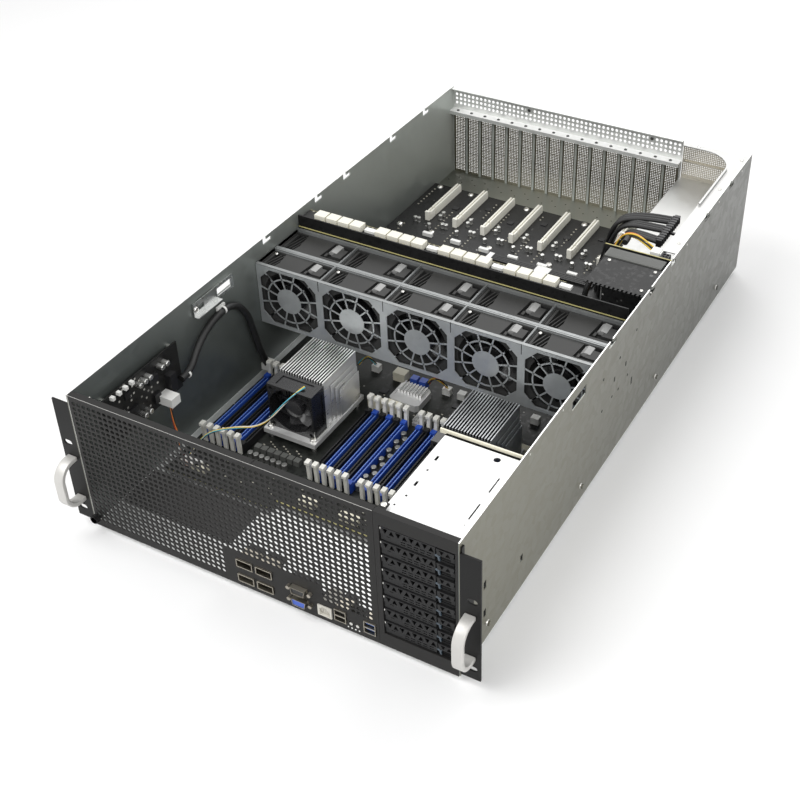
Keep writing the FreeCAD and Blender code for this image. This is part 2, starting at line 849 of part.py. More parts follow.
def blade_section(radius, chord, pitch):
    """Four corners of a thin section at one radius along Z, pitched from the tangent towards the axis."""
    a = math.radians(pitch)
    along = V(math.cos(a), math.sin(a), 0) * (chord / 2)
    thick = V(-math.sin(a), math.cos(a), 0) * (blade_thickness / 2)
    centre = V(0, 0, radius)
    return [centre - along - thick, centre + along - thick, centre + along + thick, centre - along + thick]


def twisted_solid(root, outer):
    """Closed solid between two four-cornered sections, each of its sides folded along one diagonal."""
    faces = [Part.Face(Part.makePolygon(ring + ring[:1])) for ring in (root, outer)]
    for i in range(4):
        a, b, c, d = root[i], root[(i + 1) % 4], outer[(i + 1) % 4], outer[i]
        faces.append(Part.Face(Part.makePolygon([a, b, c, a])))
        faces.append(Part.Face(Part.makePolygon([a, c, d, a])))
    solid = Part.makeSolid(Part.makeShell(faces))
    if solid.Volume < 0:
        solid.reverse()
    return solid


def wall_fan_x(index):
    return fan_centre + (index - (wall_fan_count - 1) / 2) * fan_pitch


def row_limits(row):
    """Front and back of a fan module, in the front or the rear row."""
    first = cage_front + cage_sheet + cage_flange
    if row == "front":
        return first, first + front_row_depth - 2 * fit_gap
    second = first + front_row_depth + cage_rail
    return second, second + rear_row_depth - 2 * fit_gap


def cage_back_face():
    return row_limits("rear")[1] + fit_gap


def octagon(x, z, half_x, half_z, corner):
    return [(x - half_x + corner, z - half_z), (x + half_x - corner, z - half_z),
            (x + half_x, z - half_z + corner), (x + half_x, z + half_z - corner),
            (x + half_x - corner, z + half_z), (x - half_x + corner, z + half_z),
            (x - half_x, z + half_z - corner), (x - half_x, z - half_z + corner)]


def fan_window(x, depth0, depth1):
    outline = octagon(x, fan_hub_height, window_half_width, window_half_height, window_corner)
    return front_prism(outline, depth0, depth1)


def grille(x):
    """Hub disc, ring and spokes that fill one window of the front plate."""
    z = fan_hub_height
    back = cage_front + cage_sheet
    hub = bar_along_y(x, z, grille_hub, cage_front, back, grille_spokes)
    ring = bar_along_y(x, z, grille_ring, cage_front, back, grille_spokes)
    ring = ring.cut(bar_along_y(x, z, grille_ring - grille_bar, cage_front - 1, back + 1, grille_spokes))
    bars = []
    for i in range(grille_spokes // 2):
        reach = 2 * window_half_width
        bar = Part.makeBox(2 * reach, cage_sheet, grille_bar, V(-reach, 0, -grille_bar / 2))
        bar.rotate(V(0, 0, 0), V(0, 1, 0), 360 * (i + 0.5) / grille_spokes)
        bar.translate(at(x, cage_front, z))
        bars.append(bar)
    return joined([hub, ring] + bars).common(fan_window(x, cage_front, back))


def fan_cage():
    half = inner_half
    back = cage_back_face()
    mid = row_limits("front")[1] + fit_gap
    low = cage_bottom
    top = cage_top
    s = cage_sheet
    plates = [
        block(-half, half, cage_front, cage_front + s, low, top),
        block(-half, half, back, back + s, low, top),
    ]
    windows = [fan_window(wall_fan_x(i), cage_front - 1, back + 2) for i in range(wall_fan_count)]
    plates = [cut_all(plate, windows) for plate in plates]
    rails = [
        block(-half, half, cage_front, cage_front + s + cage_flange - fit_gap, top - s, top),
        block(-half, half, mid, mid + cage_rail - fit_gap, top - s, top),
        block(-half, half, back, back + cage_back_flange, top - s, top),
        block(-half, half, cage_front, back + s, low, low + s),
    ]
    sides = [block(x, x + s, cage_front, back + s, low, top) for x in (-half, half - s)]
    dividers = []
    for i in range(wall_fan_count - 1):
        x = (wall_fan_x(i) + wall_fan_x(i + 1)) / 2
        dividers.append(block(x - s / 2, x + s / 2, cage_front, back, low, top))
    grilles = [grille(wall_fan_x(i)) for i in range(wall_fan_count)]
    return joined(plates + rails + sides + dividers + grilles)


def fan_module(index, row):
    x = wall_fan_x(index)
    z = fan_hub_height
    start, back = row_limits(row)
    half = (fan_pitch - cage_sheet) / 2 - fit_gap
    low = cage_floor_top + fit_gap
    body = block(x - half, x + half, start, back, low, module_top)
    mid = (start + back) / 2
    recess = plan_prism([(x - half + 2, start + 4), (x - half + 2, back - 4), (x - half + module_recess_length, mid)],
                        module_top - module_recess_depth, module_top + 1)
    w, d, h = module_latch
    latch = block(x + half - w - 5, x + half - 5, mid - d / 2, mid + d / 2, module_top - 1, module_top + h)
    w, d, h = module_cap
    top = module_top + module_latch[2]
    cap = block(x + half - w - 6.5, x + half - 6.5, mid - d / 2, mid + d / 2, top - 1, top + h)
    shell = joined([body, latch, cap]).cut(recess)
    return fan_body(shell, x, z, start, back, module_bore, motor_radius)


def fan_rotor(index, row):
    start, back = row_limits(row)
    return rotor(wall_fan_x(index), fan_hub_height, start + hub_setback, back, rotor_radius,
                 motor_radius, wall_blades, *wall_chords)


def cpu_rotor(side):
    x, z = cpu_fan_centre(heatsink_centres[side])
    return rotor(x, z, fin_front - cpu_fan_depth + 1, fin_front, cpu_rotor_radius, cpu_hub_radius,
                 cpu_blades, *cpu_chords)


def gpu_board():
    left, right, d0, d1 = card_board
    x0 = left - inner_half
    x1 = supply_cage_left - right
    board = block(x0, x1, d0, d1, card_board_bottom, card_board_top)
    xs = (x0 + 12, (x0 + x1) / 2, x1 - 12)
    posts = [post(x, d, sheet, card_board_bottom) for x in xs for d in (d0 + 12, d1 - 12)]
    first = card_slot_side - inner_half
    slots = [card_slot(first + card_slot_pitch * i) for i in range(card_slot_count)]
    return [board] + posts + slots


def card_slot(x):
    w, length, height = card_slot_size
    g = card_slot_groove / 2
    z0 = card_board_top
    z1 = z0 + height
    outline = [(x - w / 2, z0), (x + w / 2, z0), (x + w / 2, z1), (x + g, z1),
               (x + g, z1 - 7), (x - g, z1 - 7), (x - g, z1), (x - w / 2, z1)]
    return front_prism(outline, card_slot_front, card_slot_front + length)


def power_board():
    half = inner_half - fit_gap
    d0, d1 = riser_depths
    low = chassis_height - power_board_drop
    top = low + power_board_thickness
    riser = block(-half, half, d0, d1, cage_top, chassis_height - riser_drop)
    shelf = block(-half, half, d1, power_board_back, low, top)
    plugs = [block(start + plug_pitch * i, start + plug_pitch * i + plug_width, *plug_depths, top, top + plug_height)
             for start in plug_groups for i in range(plug_count)]
    return [riser, shelf] + plugs + supply_backplane()


def supply_backplane():
    left, right, depth, drop = supply_board
    top = chassis_height - drop
    back = depth + board_thickness
    board = block(inner_half - left, inner_half - right, depth, back, sheet, top)
    block_left, block_right, block_front, block_drop = supply_block
    grey = block(inner_half - block_left, inner_half - block_right, block_front, depth, chassis_height - block_drop, top)
    cover_left, cover_front, cover_drop, thickness = supply_cover
    low = chassis_height - cover_drop
    cover = block(inner_half - cover_left, inner_half, cover_front, block_front, low, low + thickness)
    w, d, h = cable_plug_size
    plugs = [block(inner_half - offset, inner_half - offset + w, back, back + d, top - h, top)
             for offset in cable_plug_places]
    mates = [block(supply_cage_left + mate_span[0], supply_cage_left + mate_span[1], back, supply_front - fit_gap,
                   supply_bottom(i) + mate_heights[0], supply_bottom(i) + mate_heights[1])
             for i in range(supply_count)]
    return [board, grey, cover] + mates + plugs


def supply_bottom(index):
    shelf = supply_height + 2 * supply_gap + supply_cage_sheet
    return sheet + supply_gap + index * shelf


def supply_plate_top():
    return supply_bottom(supply_count) - supply_gap


def psu(index):
    """Closed supply with an inlet recess, a release lever and a loop handle at its rear face."""
    x0 = supply_cage_left + supply_cage_sheet + supply_gap
    x1 = x0 + supply_width
    z0 = supply_bottom(index)
    z1 = z0 + supply_height
    back = chassis_depth
    body = block(x0, x1, supply_front, back, z0, z1)
    inlet = block(x0 + 8, x0 + 8 + supply_socket_length + 4, back - 14, back + 1, z0 + 8, z0 + 8 + supply_socket_length)
    grip_x = x1 - 30
    grip = block(grip_x, grip_x + 5, back, back + supply_handle_reach, z0 + 4, z1 - 4)
    gap = block(grip_x - 1, grip_x + 6, back, back + supply_handle_reach - 5, z0 + 9, z1 - 9)
    lever = block(x1 - 14, x1 - 6, back, back + 9, z0 + 6, z0 + 22)
    return joined([body.cut(inlet), grip.cut(gap), lever])


def psu_cage():
    s = supply_cage_sheet
    left = supply_cage_left
    d0 = supply_cage_front
    d1 = chassis_depth - sheet
    wall = block(left, left + s, d0, d1, sheet, supply_plate_top())
    shelves = [block(left, inner_half, d0, d1, supply_bottom(i) + supply_height + supply_gap,
                     supply_bottom(i) + supply_height + supply_gap + s) for i in range(supply_count)]
    return [joined([wall] + shelves), upper_gusset()]


def upper_gusset():
    """Strip along the wall and band along the rear, joined by one large inner corner, with a lip and a rib."""
    width, d0, drop, thickness = gusset
    left = inner_half - width
    low = chassis_height - drop
    d1 = chassis_depth - sheet
    r = gusset_radius
    band = gusset_band
    z = low
    corner_mid = r * math.sqrt(0.5)
    edges = [
        Part.makeLine(at(left, d0, z), at(inner_half, d0, z)),
        Part.makeLine(at(inner_half, d0, z), at(inner_half, d1, z)),
        Part.makeLine(at(inner_half, d1, z), at(supply_cage_left, d1, z)),
        Part.makeLine(at(supply_cage_left, d1, z), at(supply_cage_left, band, z)),
        Part.makeLine(at(supply_cage_left, band, z), at(left - r, band, z)),
        Part.Arc(at(left - r, band, z), at(left - r + corner_mid, band - r + corner_mid, z),
                 at(left, band - r, z)).toShape(),
        Part.makeLine(at(left, band - r, z), at(left, d0, z)),
    ]
    plate = Part.Face(Part.Wire(edges)).extrude(V(0, 0, thickness))
    lip = block(left, left + thickness, d0, band - r, low - gusset_lip, low)
    rib = block(left, left + thickness, *rib_depths, low + thickness, low + thickness + rib_height - gusset_lip)
    return joined([plate, lip, rib])


def rear_panel():
    half = inner_half
    d0 = chassis_depth - sheet
    d1 = chassis_depth
    face = block(-half, half, d0, d1, 0, chassis_height)
    low_shelf = block(-half, supply_cage_left, low_shelf_front, d1, low_shelf_height, low_shelf_height + sheet)
    screw_top = cover_heights[1]
    shelf = block(-half, supply_cage_left, screw_shelf_front, d1, screw_top - sheet, screw_top)
    cover_first = cover_side - inner_half
    covers_right = cover_first + cover_pitch * (cover_count - 1) + cover_width
    cover_slit = block(cover_first - fit_gap, covers_right + fit_gap, d0 - sheet - fit_gap, d0,
                       screw_top - sheet - 1, screw_top + 1)
    window = block(window_left, window_right, d0 - 1, d1 + 1, low_shelf_height + sheet + 2, screw_top - sheet - 2)
    bay_left = supply_cage_left + supply_cage_sheet
    bay = block(bay_left, bay_left + supply_width + 2 * supply_gap, d0 - 1, d1 + 1,
                sheet, supply_plate_top() - supply_cage_sheet)
    upper = block(supply_cage_left + 1.5, inner_half - bar_end, d0 - 1, d1 + 1,
                  supply_plate_top() + bar_gap, bar_heights[0])
    holes = []
    for row, drop in enumerate(strip_hole_drops):
        z = chassis_height - drop
        x = window_left + 8 + row * strip_hole_pitch / 2
        while x < window_right - strip_hole_radius:
            holes.append(bar_along_y(x, z, strip_hole_radius, d0 - 1, d1 + 1, 6))
            x += strip_hole_pitch
    return cut_all(joined([face, low_shelf, shelf]), [window, bay, upper, cover_slit] + holes)


def slot_cover(index):
    x0 = cover_side - inner_half + index * cover_pitch
    x1 = x0 + cover_width
    z0, z1 = cover_heights
    back = chassis_depth - sheet
    face = back - sheet
    outline = [(back, z0), (back, z1 + sheet), (face - cover_tab, z1 + sheet), (face - cover_tab, z1),
               (face, z1), (face, z0)]
    return side_prism(outline, x0, x1)


def cable(route, width):
    """Tube along straight runs joined by tangent arcs, each arc as large as its two runs allow."""
    points = [at(*p) for p in route]
    edges = []
    start = points[0]
    radii = []
    for before, corner, after in zip(points, points[1:], points[2:]):
        inward = (corner - before).normalize()
        outward = (after - corner).normalize()
        turn = math.acos(max(-1.0, min(1.0, inward.dot(outward))))
        setback = 0.45 * min((corner - before).Length, (after - corner).Length)
        radii.append(setback / math.tan(turn / 2))
        enter = corner - inward * setback
        leave = corner + outward * setback
        bisector = (outward - inward).normalize()
        middle = corner + bisector * (radii[-1] / math.cos(turn / 2) - radii[-1])
        edges.append(Part.LineSegment(start, enter).toShape())
        edges.append(Part.Arc(enter, middle, leave).toShape())
        start = leave
    edges.append(Part.LineSegment(start, points[-1]).toShape())
    path = Part.Wire(edges)
    section = cross_section(points[0], points[1] - points[0], width / 2)
    tube = path.makePipeShell([section], True, True)
    area = Part.Face(section).Area
    print("cable", round(path.Length, 1), "mm, radii", [round(r, 1) for r in radii],
          "volume over section times length", round(tube.Volume / (area * path.Length), 3))
    return tube


def cross_section(centre, direction, radius):
    """Six sides for a bundle, four for a thin lead."""
    normal = V(direction).normalize()
    across = normal.cross(V(0, 0, 1) if abs(normal.z) < 0.9 else V(0, 1, 0)).normalize()
    up = across.cross(normal)
    sides = 6 if radius > thin_lead else 4
    corners = [centre + across * a + up * b for a, b in round_outline(0, 0, radius, sides)]
    return Part.makePolygon(corners + corners[:1])


def wiring():
    x0, x1, d0, d1, thickness = card_cable
    ribbon = block(x0, x1, d0, d1, card_board_top, card_board_top + thickness)
    return [
        cable(bundle_route, bundle_width),
        cable(left_lead_route, lead_width),
        cable(right_lead_route, lead_width),
        cable(plug_lead_route, plug_lead_width),
        cable(supply_cable_route, supply_cable_width),
        ribbon,
    ]


save("chassis_tray", [chassis_tray()])
save("front_panel", front_panel())
save("drive_cage", drive_cage())
for number in range(tray_count):
    save("drive_tray_%d" % (number + 1), drive_tray(number))
    save("tray_lever_%d" % (number + 1), [tray_lever(number)])
save("rack_ears", [rack_ear(-1), rack_ear(1)])
save("rack_handles", [rack_handle(-1), rack_handle(1)])
save("motherboard", motherboard())
for name in button_places:
    save(name, [button(name)])
save("dimm_slots", dimm_slots())
save("dimm_latches_front", dimm_latches(-1))
save("dimm_latches_rear", dimm_latches(1))
save("cpu_heatsinks", heatsink(heatsink_centres["left"]) + heatsink(heatsink_centres["right"]))
for side in heatsink_centres:
    save("cpu_rotor_" + side, [cpu_rotor(side)])
save("fan_cage", [fan_cage()])
for row in ("front", "rear"):
    for number in range(wall_fan_count):
        save("fan_module_%s_%d" % (row, number + 1), [fan_module(number, row)])
        save("fan_rotor_%s_%d" % (row, number + 1), [fan_rotor(number, row)])
save("gpu_board", gpu_board())
save("power_board", power_board())
save("psu_cage", psu_cage())
for number in range(supply_count):
    save("psu_%d" % (number + 1), [psu(number)])
save("rear_panel", [rear_panel()])
save("slot_covers", [slot_cover(i) for i in range(cover_count)])
save("wiring", wiring())
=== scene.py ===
import math

import bmesh
import bpy
from mathutils import Matrix, Vector


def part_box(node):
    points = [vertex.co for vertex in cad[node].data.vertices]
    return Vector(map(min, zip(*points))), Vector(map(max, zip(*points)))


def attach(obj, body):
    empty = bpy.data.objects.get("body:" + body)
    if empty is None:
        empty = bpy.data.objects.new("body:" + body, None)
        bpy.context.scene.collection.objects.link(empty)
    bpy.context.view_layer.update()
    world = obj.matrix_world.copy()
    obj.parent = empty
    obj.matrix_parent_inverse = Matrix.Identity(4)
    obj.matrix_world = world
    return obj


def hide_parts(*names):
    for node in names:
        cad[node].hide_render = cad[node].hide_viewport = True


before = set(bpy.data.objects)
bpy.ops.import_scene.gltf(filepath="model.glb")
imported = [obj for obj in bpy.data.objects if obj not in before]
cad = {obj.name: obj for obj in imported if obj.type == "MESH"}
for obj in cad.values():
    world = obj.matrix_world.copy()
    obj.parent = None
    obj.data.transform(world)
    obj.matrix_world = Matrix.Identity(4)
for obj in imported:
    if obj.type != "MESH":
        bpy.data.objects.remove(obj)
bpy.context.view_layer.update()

scene = bpy.context.scene
scene.view_settings.view_transform = "Standard"

# Lengths are millimetres unless a name says otherwise: x to the right, depth back from the front face, z up.
mm = 0.001
frontDepth = 400.0
chassis = {"halfWidth": 220.0, "inner": 218.8, "depth": 800.0, "height": 174.5, "sheet": 1.2}


def place(x, depth, z):
    return Vector((x * mm, (depth - frontDepth) * mm, z * mm))


def step(x, depth, z):
    return Vector((x * mm, depth * mm, z * mm))


# Shader groups: each gives colours, values and heights, and the Principled BSDF stays in the material.

def newGroup(name, inputs, outputs):
    group = bpy.data.node_groups.new(name, "ShaderNodeTree")
    for label, kind, value in inputs:
        socket = group.interface.new_socket(label, in_out="INPUT", socket_type=kind)
        socket.default_value = value
    for label, kind in outputs:
        group.interface.new_socket(label, in_out="OUTPUT", socket_type=kind)
    return group, group.nodes.new("NodeGroupInput"), group.nodes.new("NodeGroupOutput")


def addNode(tree, kind, **values):
    node = tree.nodes.new(kind)
    for key, value in values.items():
        setattr(node, key, value)
    return node


def feed(tree, socket, value):
    if isinstance(value, (int, float, tuple)):
        socket.default_value = value
    else:
        tree.links.new(value, socket)


def mathNode(tree, operation, a, b=0.0, clamp=False):
    node = addNode(tree, "ShaderNodeMath", operation=operation, use_clamp=clamp)
    feed(tree, node.inputs[0], a)
    feed(tree, node.inputs[1], b)
    return node.outputs[0]


def mixColour(tree, factor, a, b, blend="MIX"):
    node = addNode(tree, "ShaderNodeMix", data_type="RGBA", blend_type=blend)
    feed(tree, node.inputs[0], factor)
    feed(tree, node.inputs[6], a)
    feed(tree, node.inputs[7], b)
    return node.outputs[2]


def spread(tree, value, low, high, toLow=0.0, toHigh=1.0):
    node = addNode(tree, "ShaderNodeMapRange")
    for index, item in enumerate((value, low, high, toLow, toHigh)):
        feed(tree, node.inputs[index], item)
    return node.outputs[0]


def buildGrainGroup():
    # fine tooth of a coat, a casting or a moulding, with broad clouding and specks of dust
    group, start, end = newGroup("surfaceGrain", [
        ("Colour", "NodeSocketColor", (0.5, 0.5, 0.5, 1)), ("Fine Scale", "NodeSocketFloat", 900.0),
        ("Broad Scale", "NodeSocketFloat", 14.0), ("Variation", "NodeSocketFloat", 0.1),
        ("Roughness", "NodeSocketFloat", 0.5), ("Dust", "NodeSocketFloat", 0.0)],
        [("Colour", "NodeSocketColor"), ("Roughness", "NodeSocketFloat"), ("Height", "NodeSocketFloat")])
    where = addNode(group, "ShaderNodeTexCoord").outputs["Object"]
    fine = addNode(group, "ShaderNodeTexNoise")
    broad = addNode(group, "ShaderNodeTexNoise")
    fine.inputs["Detail"].default_value = 3.0
    broad.inputs["Detail"].default_value = 2.0
    for node, label in ((fine, "Fine Scale"), (broad, "Broad Scale")):
        group.links.new(where, node.inputs["Vector"])
        group.links.new(start.outputs[label], node.inputs["Scale"])
    clouds = spread(group, broad.outputs["Fac"], 0.3, 0.7, -1.0, 1.0)
    tooth = spread(group, fine.outputs["Fac"], 0.3, 0.7, -1.0, 1.0)
    both = mathNode(group, "ADD", mathNode(group, "MULTIPLY", clouds, 0.6), mathNode(group, "MULTIPLY", tooth, 0.4))
    gain = mathNode(group, "ADD", mathNode(group, "MULTIPLY", both, start.outputs["Variation"]), 1.0)
    tone = addNode(group, "ShaderNodeVectorMath", operation="SCALE")
    group.links.new(start.outputs["Colour"], tone.inputs[0])
    group.links.new(gain, tone.inputs["Scale"])
    specks = spread(group, fine.outputs["Fac"], 0.62, 0.72, 0.0, 1.0)
    dusted = mathNode(group, "MULTIPLY", specks, start.outputs["Dust"], True)
    group.links.new(mixColour(group, dusted, tone.outputs[0], (0.45, 0.43, 0.40, 1)), end.inputs["Colour"])
    rough = mathNode(group, "ADD", mathNode(group, "MULTIPLY", both, 0.08), start.outputs["Roughness"], True)
    group.links.new(rough, end.inputs["Roughness"])
    group.links.new(fine.outputs["Fac"], end.inputs["Height"])
    return group


def buildSpangleGroup():
    # zinc spangle: flat cells that each catch the light a little differently, rolled along one way
    group, start, end = newGroup("zincSpangle", [
        ("Colour", "NodeSocketColor", (0.5, 0.5, 0.5, 1)), ("Cell Scale", "NodeSocketFloat", 160.0),
        ("Variation", "NodeSocketFloat", 0.08), ("Roughness", "NodeSocketFloat", 0.35)],
        [("Colour", "NodeSocketColor"), ("Roughness", "NodeSocketFloat"), ("Height", "NodeSocketFloat")])
    where = addNode(group, "ShaderNodeTexCoord").outputs["Object"]
    cells = addNode(group, "ShaderNodeTexVoronoi")
    group.links.new(where, cells.inputs["Vector"])
    group.links.new(start.outputs["Cell Scale"], cells.inputs["Scale"])
    grey = addNode(group, "ShaderNodeSeparateColor")
    group.links.new(cells.outputs["Color"], grey.inputs[0])
    stretch = addNode(group, "ShaderNodeMapping")
    stretch.inputs["Scale"].default_value = (60.0, 4.0, 60.0)
    group.links.new(where, stretch.inputs["Vector"])
    lines = addNode(group, "ShaderNodeTexNoise")
    lines.inputs["Scale"].default_value = 8.0
    group.links.new(stretch.outputs[0], lines.inputs["Vector"])
    wave = mathNode(group, "ADD", mathNode(group, "SUBTRACT", grey.outputs[0], 0.5),
                    mathNode(group, "SUBTRACT", lines.outputs["Fac"], 0.5))
    gain = mathNode(group, "ADD", mathNode(group, "MULTIPLY", wave, start.outputs["Variation"]), 1.0)
    tone = addNode(group, "ShaderNodeVectorMath", operation="SCALE")
    group.links.new(start.outputs["Colour"], tone.inputs[0])
    group.links.new(gain, tone.inputs["Scale"])
    group.links.new(tone.outputs[0], end.inputs["Colour"])
    rough = mathNode(group, "ADD", mathNode(group, "MULTIPLY", wave, 0.12), start.outputs["Roughness"], True)
    group.links.new(rough, end.inputs["Roughness"])
    group.links.new(lines.outputs["Fac"], end.inputs["Height"])
    return group


def buildBoardGroup():
    # solder mask: copper runs under the coat, pads and tiny pale parts in loose rows
    group, start, end = newGroup("boardTracks", [
        ("Colour", "NodeSocketColor", (0.02, 0.02, 0.02, 1)), ("Track Colour", "NodeSocketColor", (0.05, 0.05, 0.05, 1)),
        ("Pad Colour", "NodeSocketColor", (0.5, 0.5, 0.48, 1)), ("Track Scale", "NodeSocketFloat", 260.0),
        ("Pad Scale", "NodeSocketFloat", 200.0), ("Pad Share", "NodeSocketFloat", 0.1)],
        [("Colour", "NodeSocketColor"), ("Roughness", "NodeSocketFloat"), ("Height", "NodeSocketFloat"),
         ("Pads", "NodeSocketFloat")])
    where = addNode(group, "ShaderNodeTexCoord").outputs["Object"]
    tracks = addNode(group, "ShaderNodeTexVoronoi", distance="CHEBYCHEV", feature="F2")
    pads = addNode(group, "ShaderNodeTexVoronoi", distance="CHEBYCHEV")
    areas = addNode(group, "ShaderNodeTexNoise")
    areas.inputs["Scale"].default_value = 26.0
    for node, label in ((tracks, "Track Scale"), (pads, "Pad Scale")):
        group.links.new(where, node.inputs["Vector"])
        group.links.new(start.outputs[label], node.inputs["Scale"])
    pads.inputs["Randomness"].default_value = 0.55
    group.links.new(where, areas.inputs["Vector"])
    runs = spread(group, tracks.outputs["Distance"], 0.42, 0.55)
    dots = spread(group, pads.outputs["Distance"], 0.26, 0.18)
    pick = addNode(group, "ShaderNodeSeparateColor")
    group.links.new(pads.outputs["Color"], pick.inputs[0])
    chosen = mathNode(group, "LESS_THAN", pick.outputs[0], start.outputs["Pad Share"])
    busy = spread(group, areas.outputs["Fac"], 0.44, 0.54)
    padMask = mathNode(group, "MULTIPLY", mathNode(group, "MULTIPLY", dots, chosen), busy)
    ground = mixColour(group, mathNode(group, "MULTIPLY", runs, 0.7), start.outputs["Colour"], start.outputs["Track Colour"])
    group.links.new(mixColour(group, padMask, ground, start.outputs["Pad Colour"]), end.inputs["Colour"])
    group.links.new(spread(group, runs, 0.0, 1.0, 0.34, 0.46), end.inputs["Roughness"])
    group.links.new(mathNode(group, "ADD", runs, padMask), end.inputs["Height"])
    group.links.new(padMask, end.inputs["Pads"])
    return group


def buildToneGroup():
    # painted shade: how a large sheet darkens along one direction, where it faces less of the room
    group, start, end = newGroup("sheetTone", [
        ("Colour", "NodeSocketColor", (0.5, 0.5, 0.5, 1)), ("Far Colour", "NodeSocketColor", (0.4, 0.4, 0.4, 1)),
        ("Axis", "NodeSocketVector", (0, 0, 1)), ("From", "NodeSocketFloat", 0.0), ("To", "NodeSocketFloat", 0.17)],
        [("Colour", "NodeSocketColor"), ("Mask", "NodeSocketFloat")])
    where = addNode(group, "ShaderNodeTexCoord").outputs["Object"]
    along = addNode(group, "ShaderNodeVectorMath", operation="DOT_PRODUCT")
    group.links.new(where, along.inputs[0])
    group.links.new(start.outputs["Axis"], along.inputs[1])
    mask = addNode(group, "ShaderNodeMapRange", interpolation_type="SMOOTHSTEP")
    group.links.new(along.outputs["Value"], mask.inputs[0])
    group.links.new(start.outputs["From"], mask.inputs[1])
    group.links.new(start.outputs["To"], mask.inputs[2])
    group.links.new(mixColour(group, mask.outputs[0], start.outputs["Colour"], start.outputs["Far Colour"]), end.inputs["Colour"])
    group.links.new(mask.outputs[0], end.inputs["Mask"])
    return group


grainGroup = buildGrainGroup()
spangleGroup = buildSpangleGroup()
boardGroup = buildBoardGroup()
toneGroup = buildToneGroup()
print("shader groups made")


def useGroup(tree, group, **values):
    node = addNode(tree, "ShaderNodeGroup", node_tree=group)
    for key, value in values.items():
        label = "".join(" " + letter if letter.isupper() else letter for letter in key).strip().title()
        feed(tree, node.inputs[label], value)
    return node


def newMaterial(name, metallic=0.0, specular=0.5, coat=0.0):
    material = bpy.data.materials.new(name)
    material.use_nodes = True
    tree = material.node_tree
    shader = tree.nodes["Principled BSDF"]
    shader.inputs["Metallic"].default_value = metallic
    shader.inputs["Specular IOR Level"].default_value = specular
    shader.inputs["Coat Weight"].default_value = coat
    return material, tree, shader


def finishWith(tree, shader, node, height=0.0, distance=0.0001):
    tree.links.new(node.outputs["Colour"], shader.inputs["Base Color"])
    tree.links.new(node.outputs["Roughness"], shader.inputs["Roughness"])
    if height:
        bump = addNode(tree, "ShaderNodeBump")
        bump.inputs["Strength"].default_value = height
        bump.inputs["Distance"].default_value = distance
        tree.links.new(node.outputs["Height"], bump.inputs["Height"])
        tree.links.new(bump.outputs["Normal"], shader.inputs["Normal"])


def grainMaterial(name, colour, roughness, metallic=0.0, variation=0.08, fine=1200.0, broad=14.0, dust=0.0,
                  height=0.15, specular=0.5, coat=0.0):
    material, tree, shader = newMaterial(name, metallic, specular, coat)
    node = useGroup(tree, grainGroup, colour=(*colour, 1), roughness=roughness, variation=variation,
                    fineScale=fine, broadScale=broad, dust=dust)
    finishWith(tree, shader, node, height)
    return material


def zincMaterial(name, colour, roughness, variation=0.1, cells=140.0, metallic=1.0, height=0.04):
    material, tree, shader = newMaterial(name, metallic)
    node = useGroup(tree, spangleGroup, colour=(*colour, 1), roughness=roughness, variation=variation, cellScale=cells)
    finishWith(tree, shader, node, height)
    return material


def boardMaterial(name, colour, track, pad, tracks=260.0, pads=200.0, share=0.1, specular=0.3):
    material, tree, shader = newMaterial(name, specular=specular)
    node = useGroup(tree, boardGroup, colour=(*colour, 1), trackColour=(*track, 1), padColour=(*pad, 1),
                    trackScale=tracks, padScale=pads, padShare=share)
    finishWith(tree, shader, node, 0.25, 0.0002)
    return material


def wallMaterial():
    # one folded sheet with painted light: outside, a darker grey as a painted reflection of a darker room, with painted
    # shade deepening towards the rear; inside, painted shade, darkest low down and lighter towards the top; the floor
    # pale; a painted highlight along the top edge
    material, tree, shader = newMaterial("chassisSheet", 0.55)
    where = addNode(tree, "ShaderNodeSeparateXYZ")
    tree.links.new(addNode(tree, "ShaderNodeTexCoord").outputs["Object"], where.inputs[0])
    # painted reflection and painted shade on the outer face: darker grey, darkest towards the rear
    outsideShade = useGroup(tree, toneGroup, colour=(0.205, 0.200, 0.160, 1), farColour=(0.145, 0.147, 0.136, 1), axis=(0, 1, 0))
    outsideShade.inputs["From"].default_value = -0.40
    outsideShade.inputs["To"].default_value = 0.40
    # painted shade on the inner face: darkest low down, lighter towards the top
    insideShade = useGroup(tree, toneGroup, colour=(0.13, 0.145, 0.138, 1), farColour=(0.50, 0.53, 0.50, 1), axis=(0, 0.25, 1))
    insideShade.inputs["From"].default_value = 0.03
    insideShade.inputs["To"].default_value = 0.25
    aside = mathNode(tree, "ABSOLUTE", where.outputs["X"])
    isOutside = mathNode(tree, "GREATER_THAN", aside, 0.2194)
    isFloor = mathNode(tree, "LESS_THAN", where.outputs["Z"], 0.0016)
    # painted highlight along the top edge of the walls
    isTopHighlight = mathNode(tree, "GREATER_THAN", where.outputs["Z"], 0.17425)
    colour = mixColour(tree, isOutside, insideShade.outputs["Colour"], outsideShade.outputs["Colour"])
    colour = mixColour(tree, isFloor, colour, (0.86, 0.87, 0.86, 1))
    colour = mixColour(tree, isTopHighlight, colour, (0.95, 0.95, 0.93, 1))
    node = useGroup(tree, spangleGroup, roughness=0.38, variation=0.05, cellScale=110.0)
    tree.links.new(colour, node.inputs["Colour"])
    finishWith(tree, shader, node, 0.03)
    return material


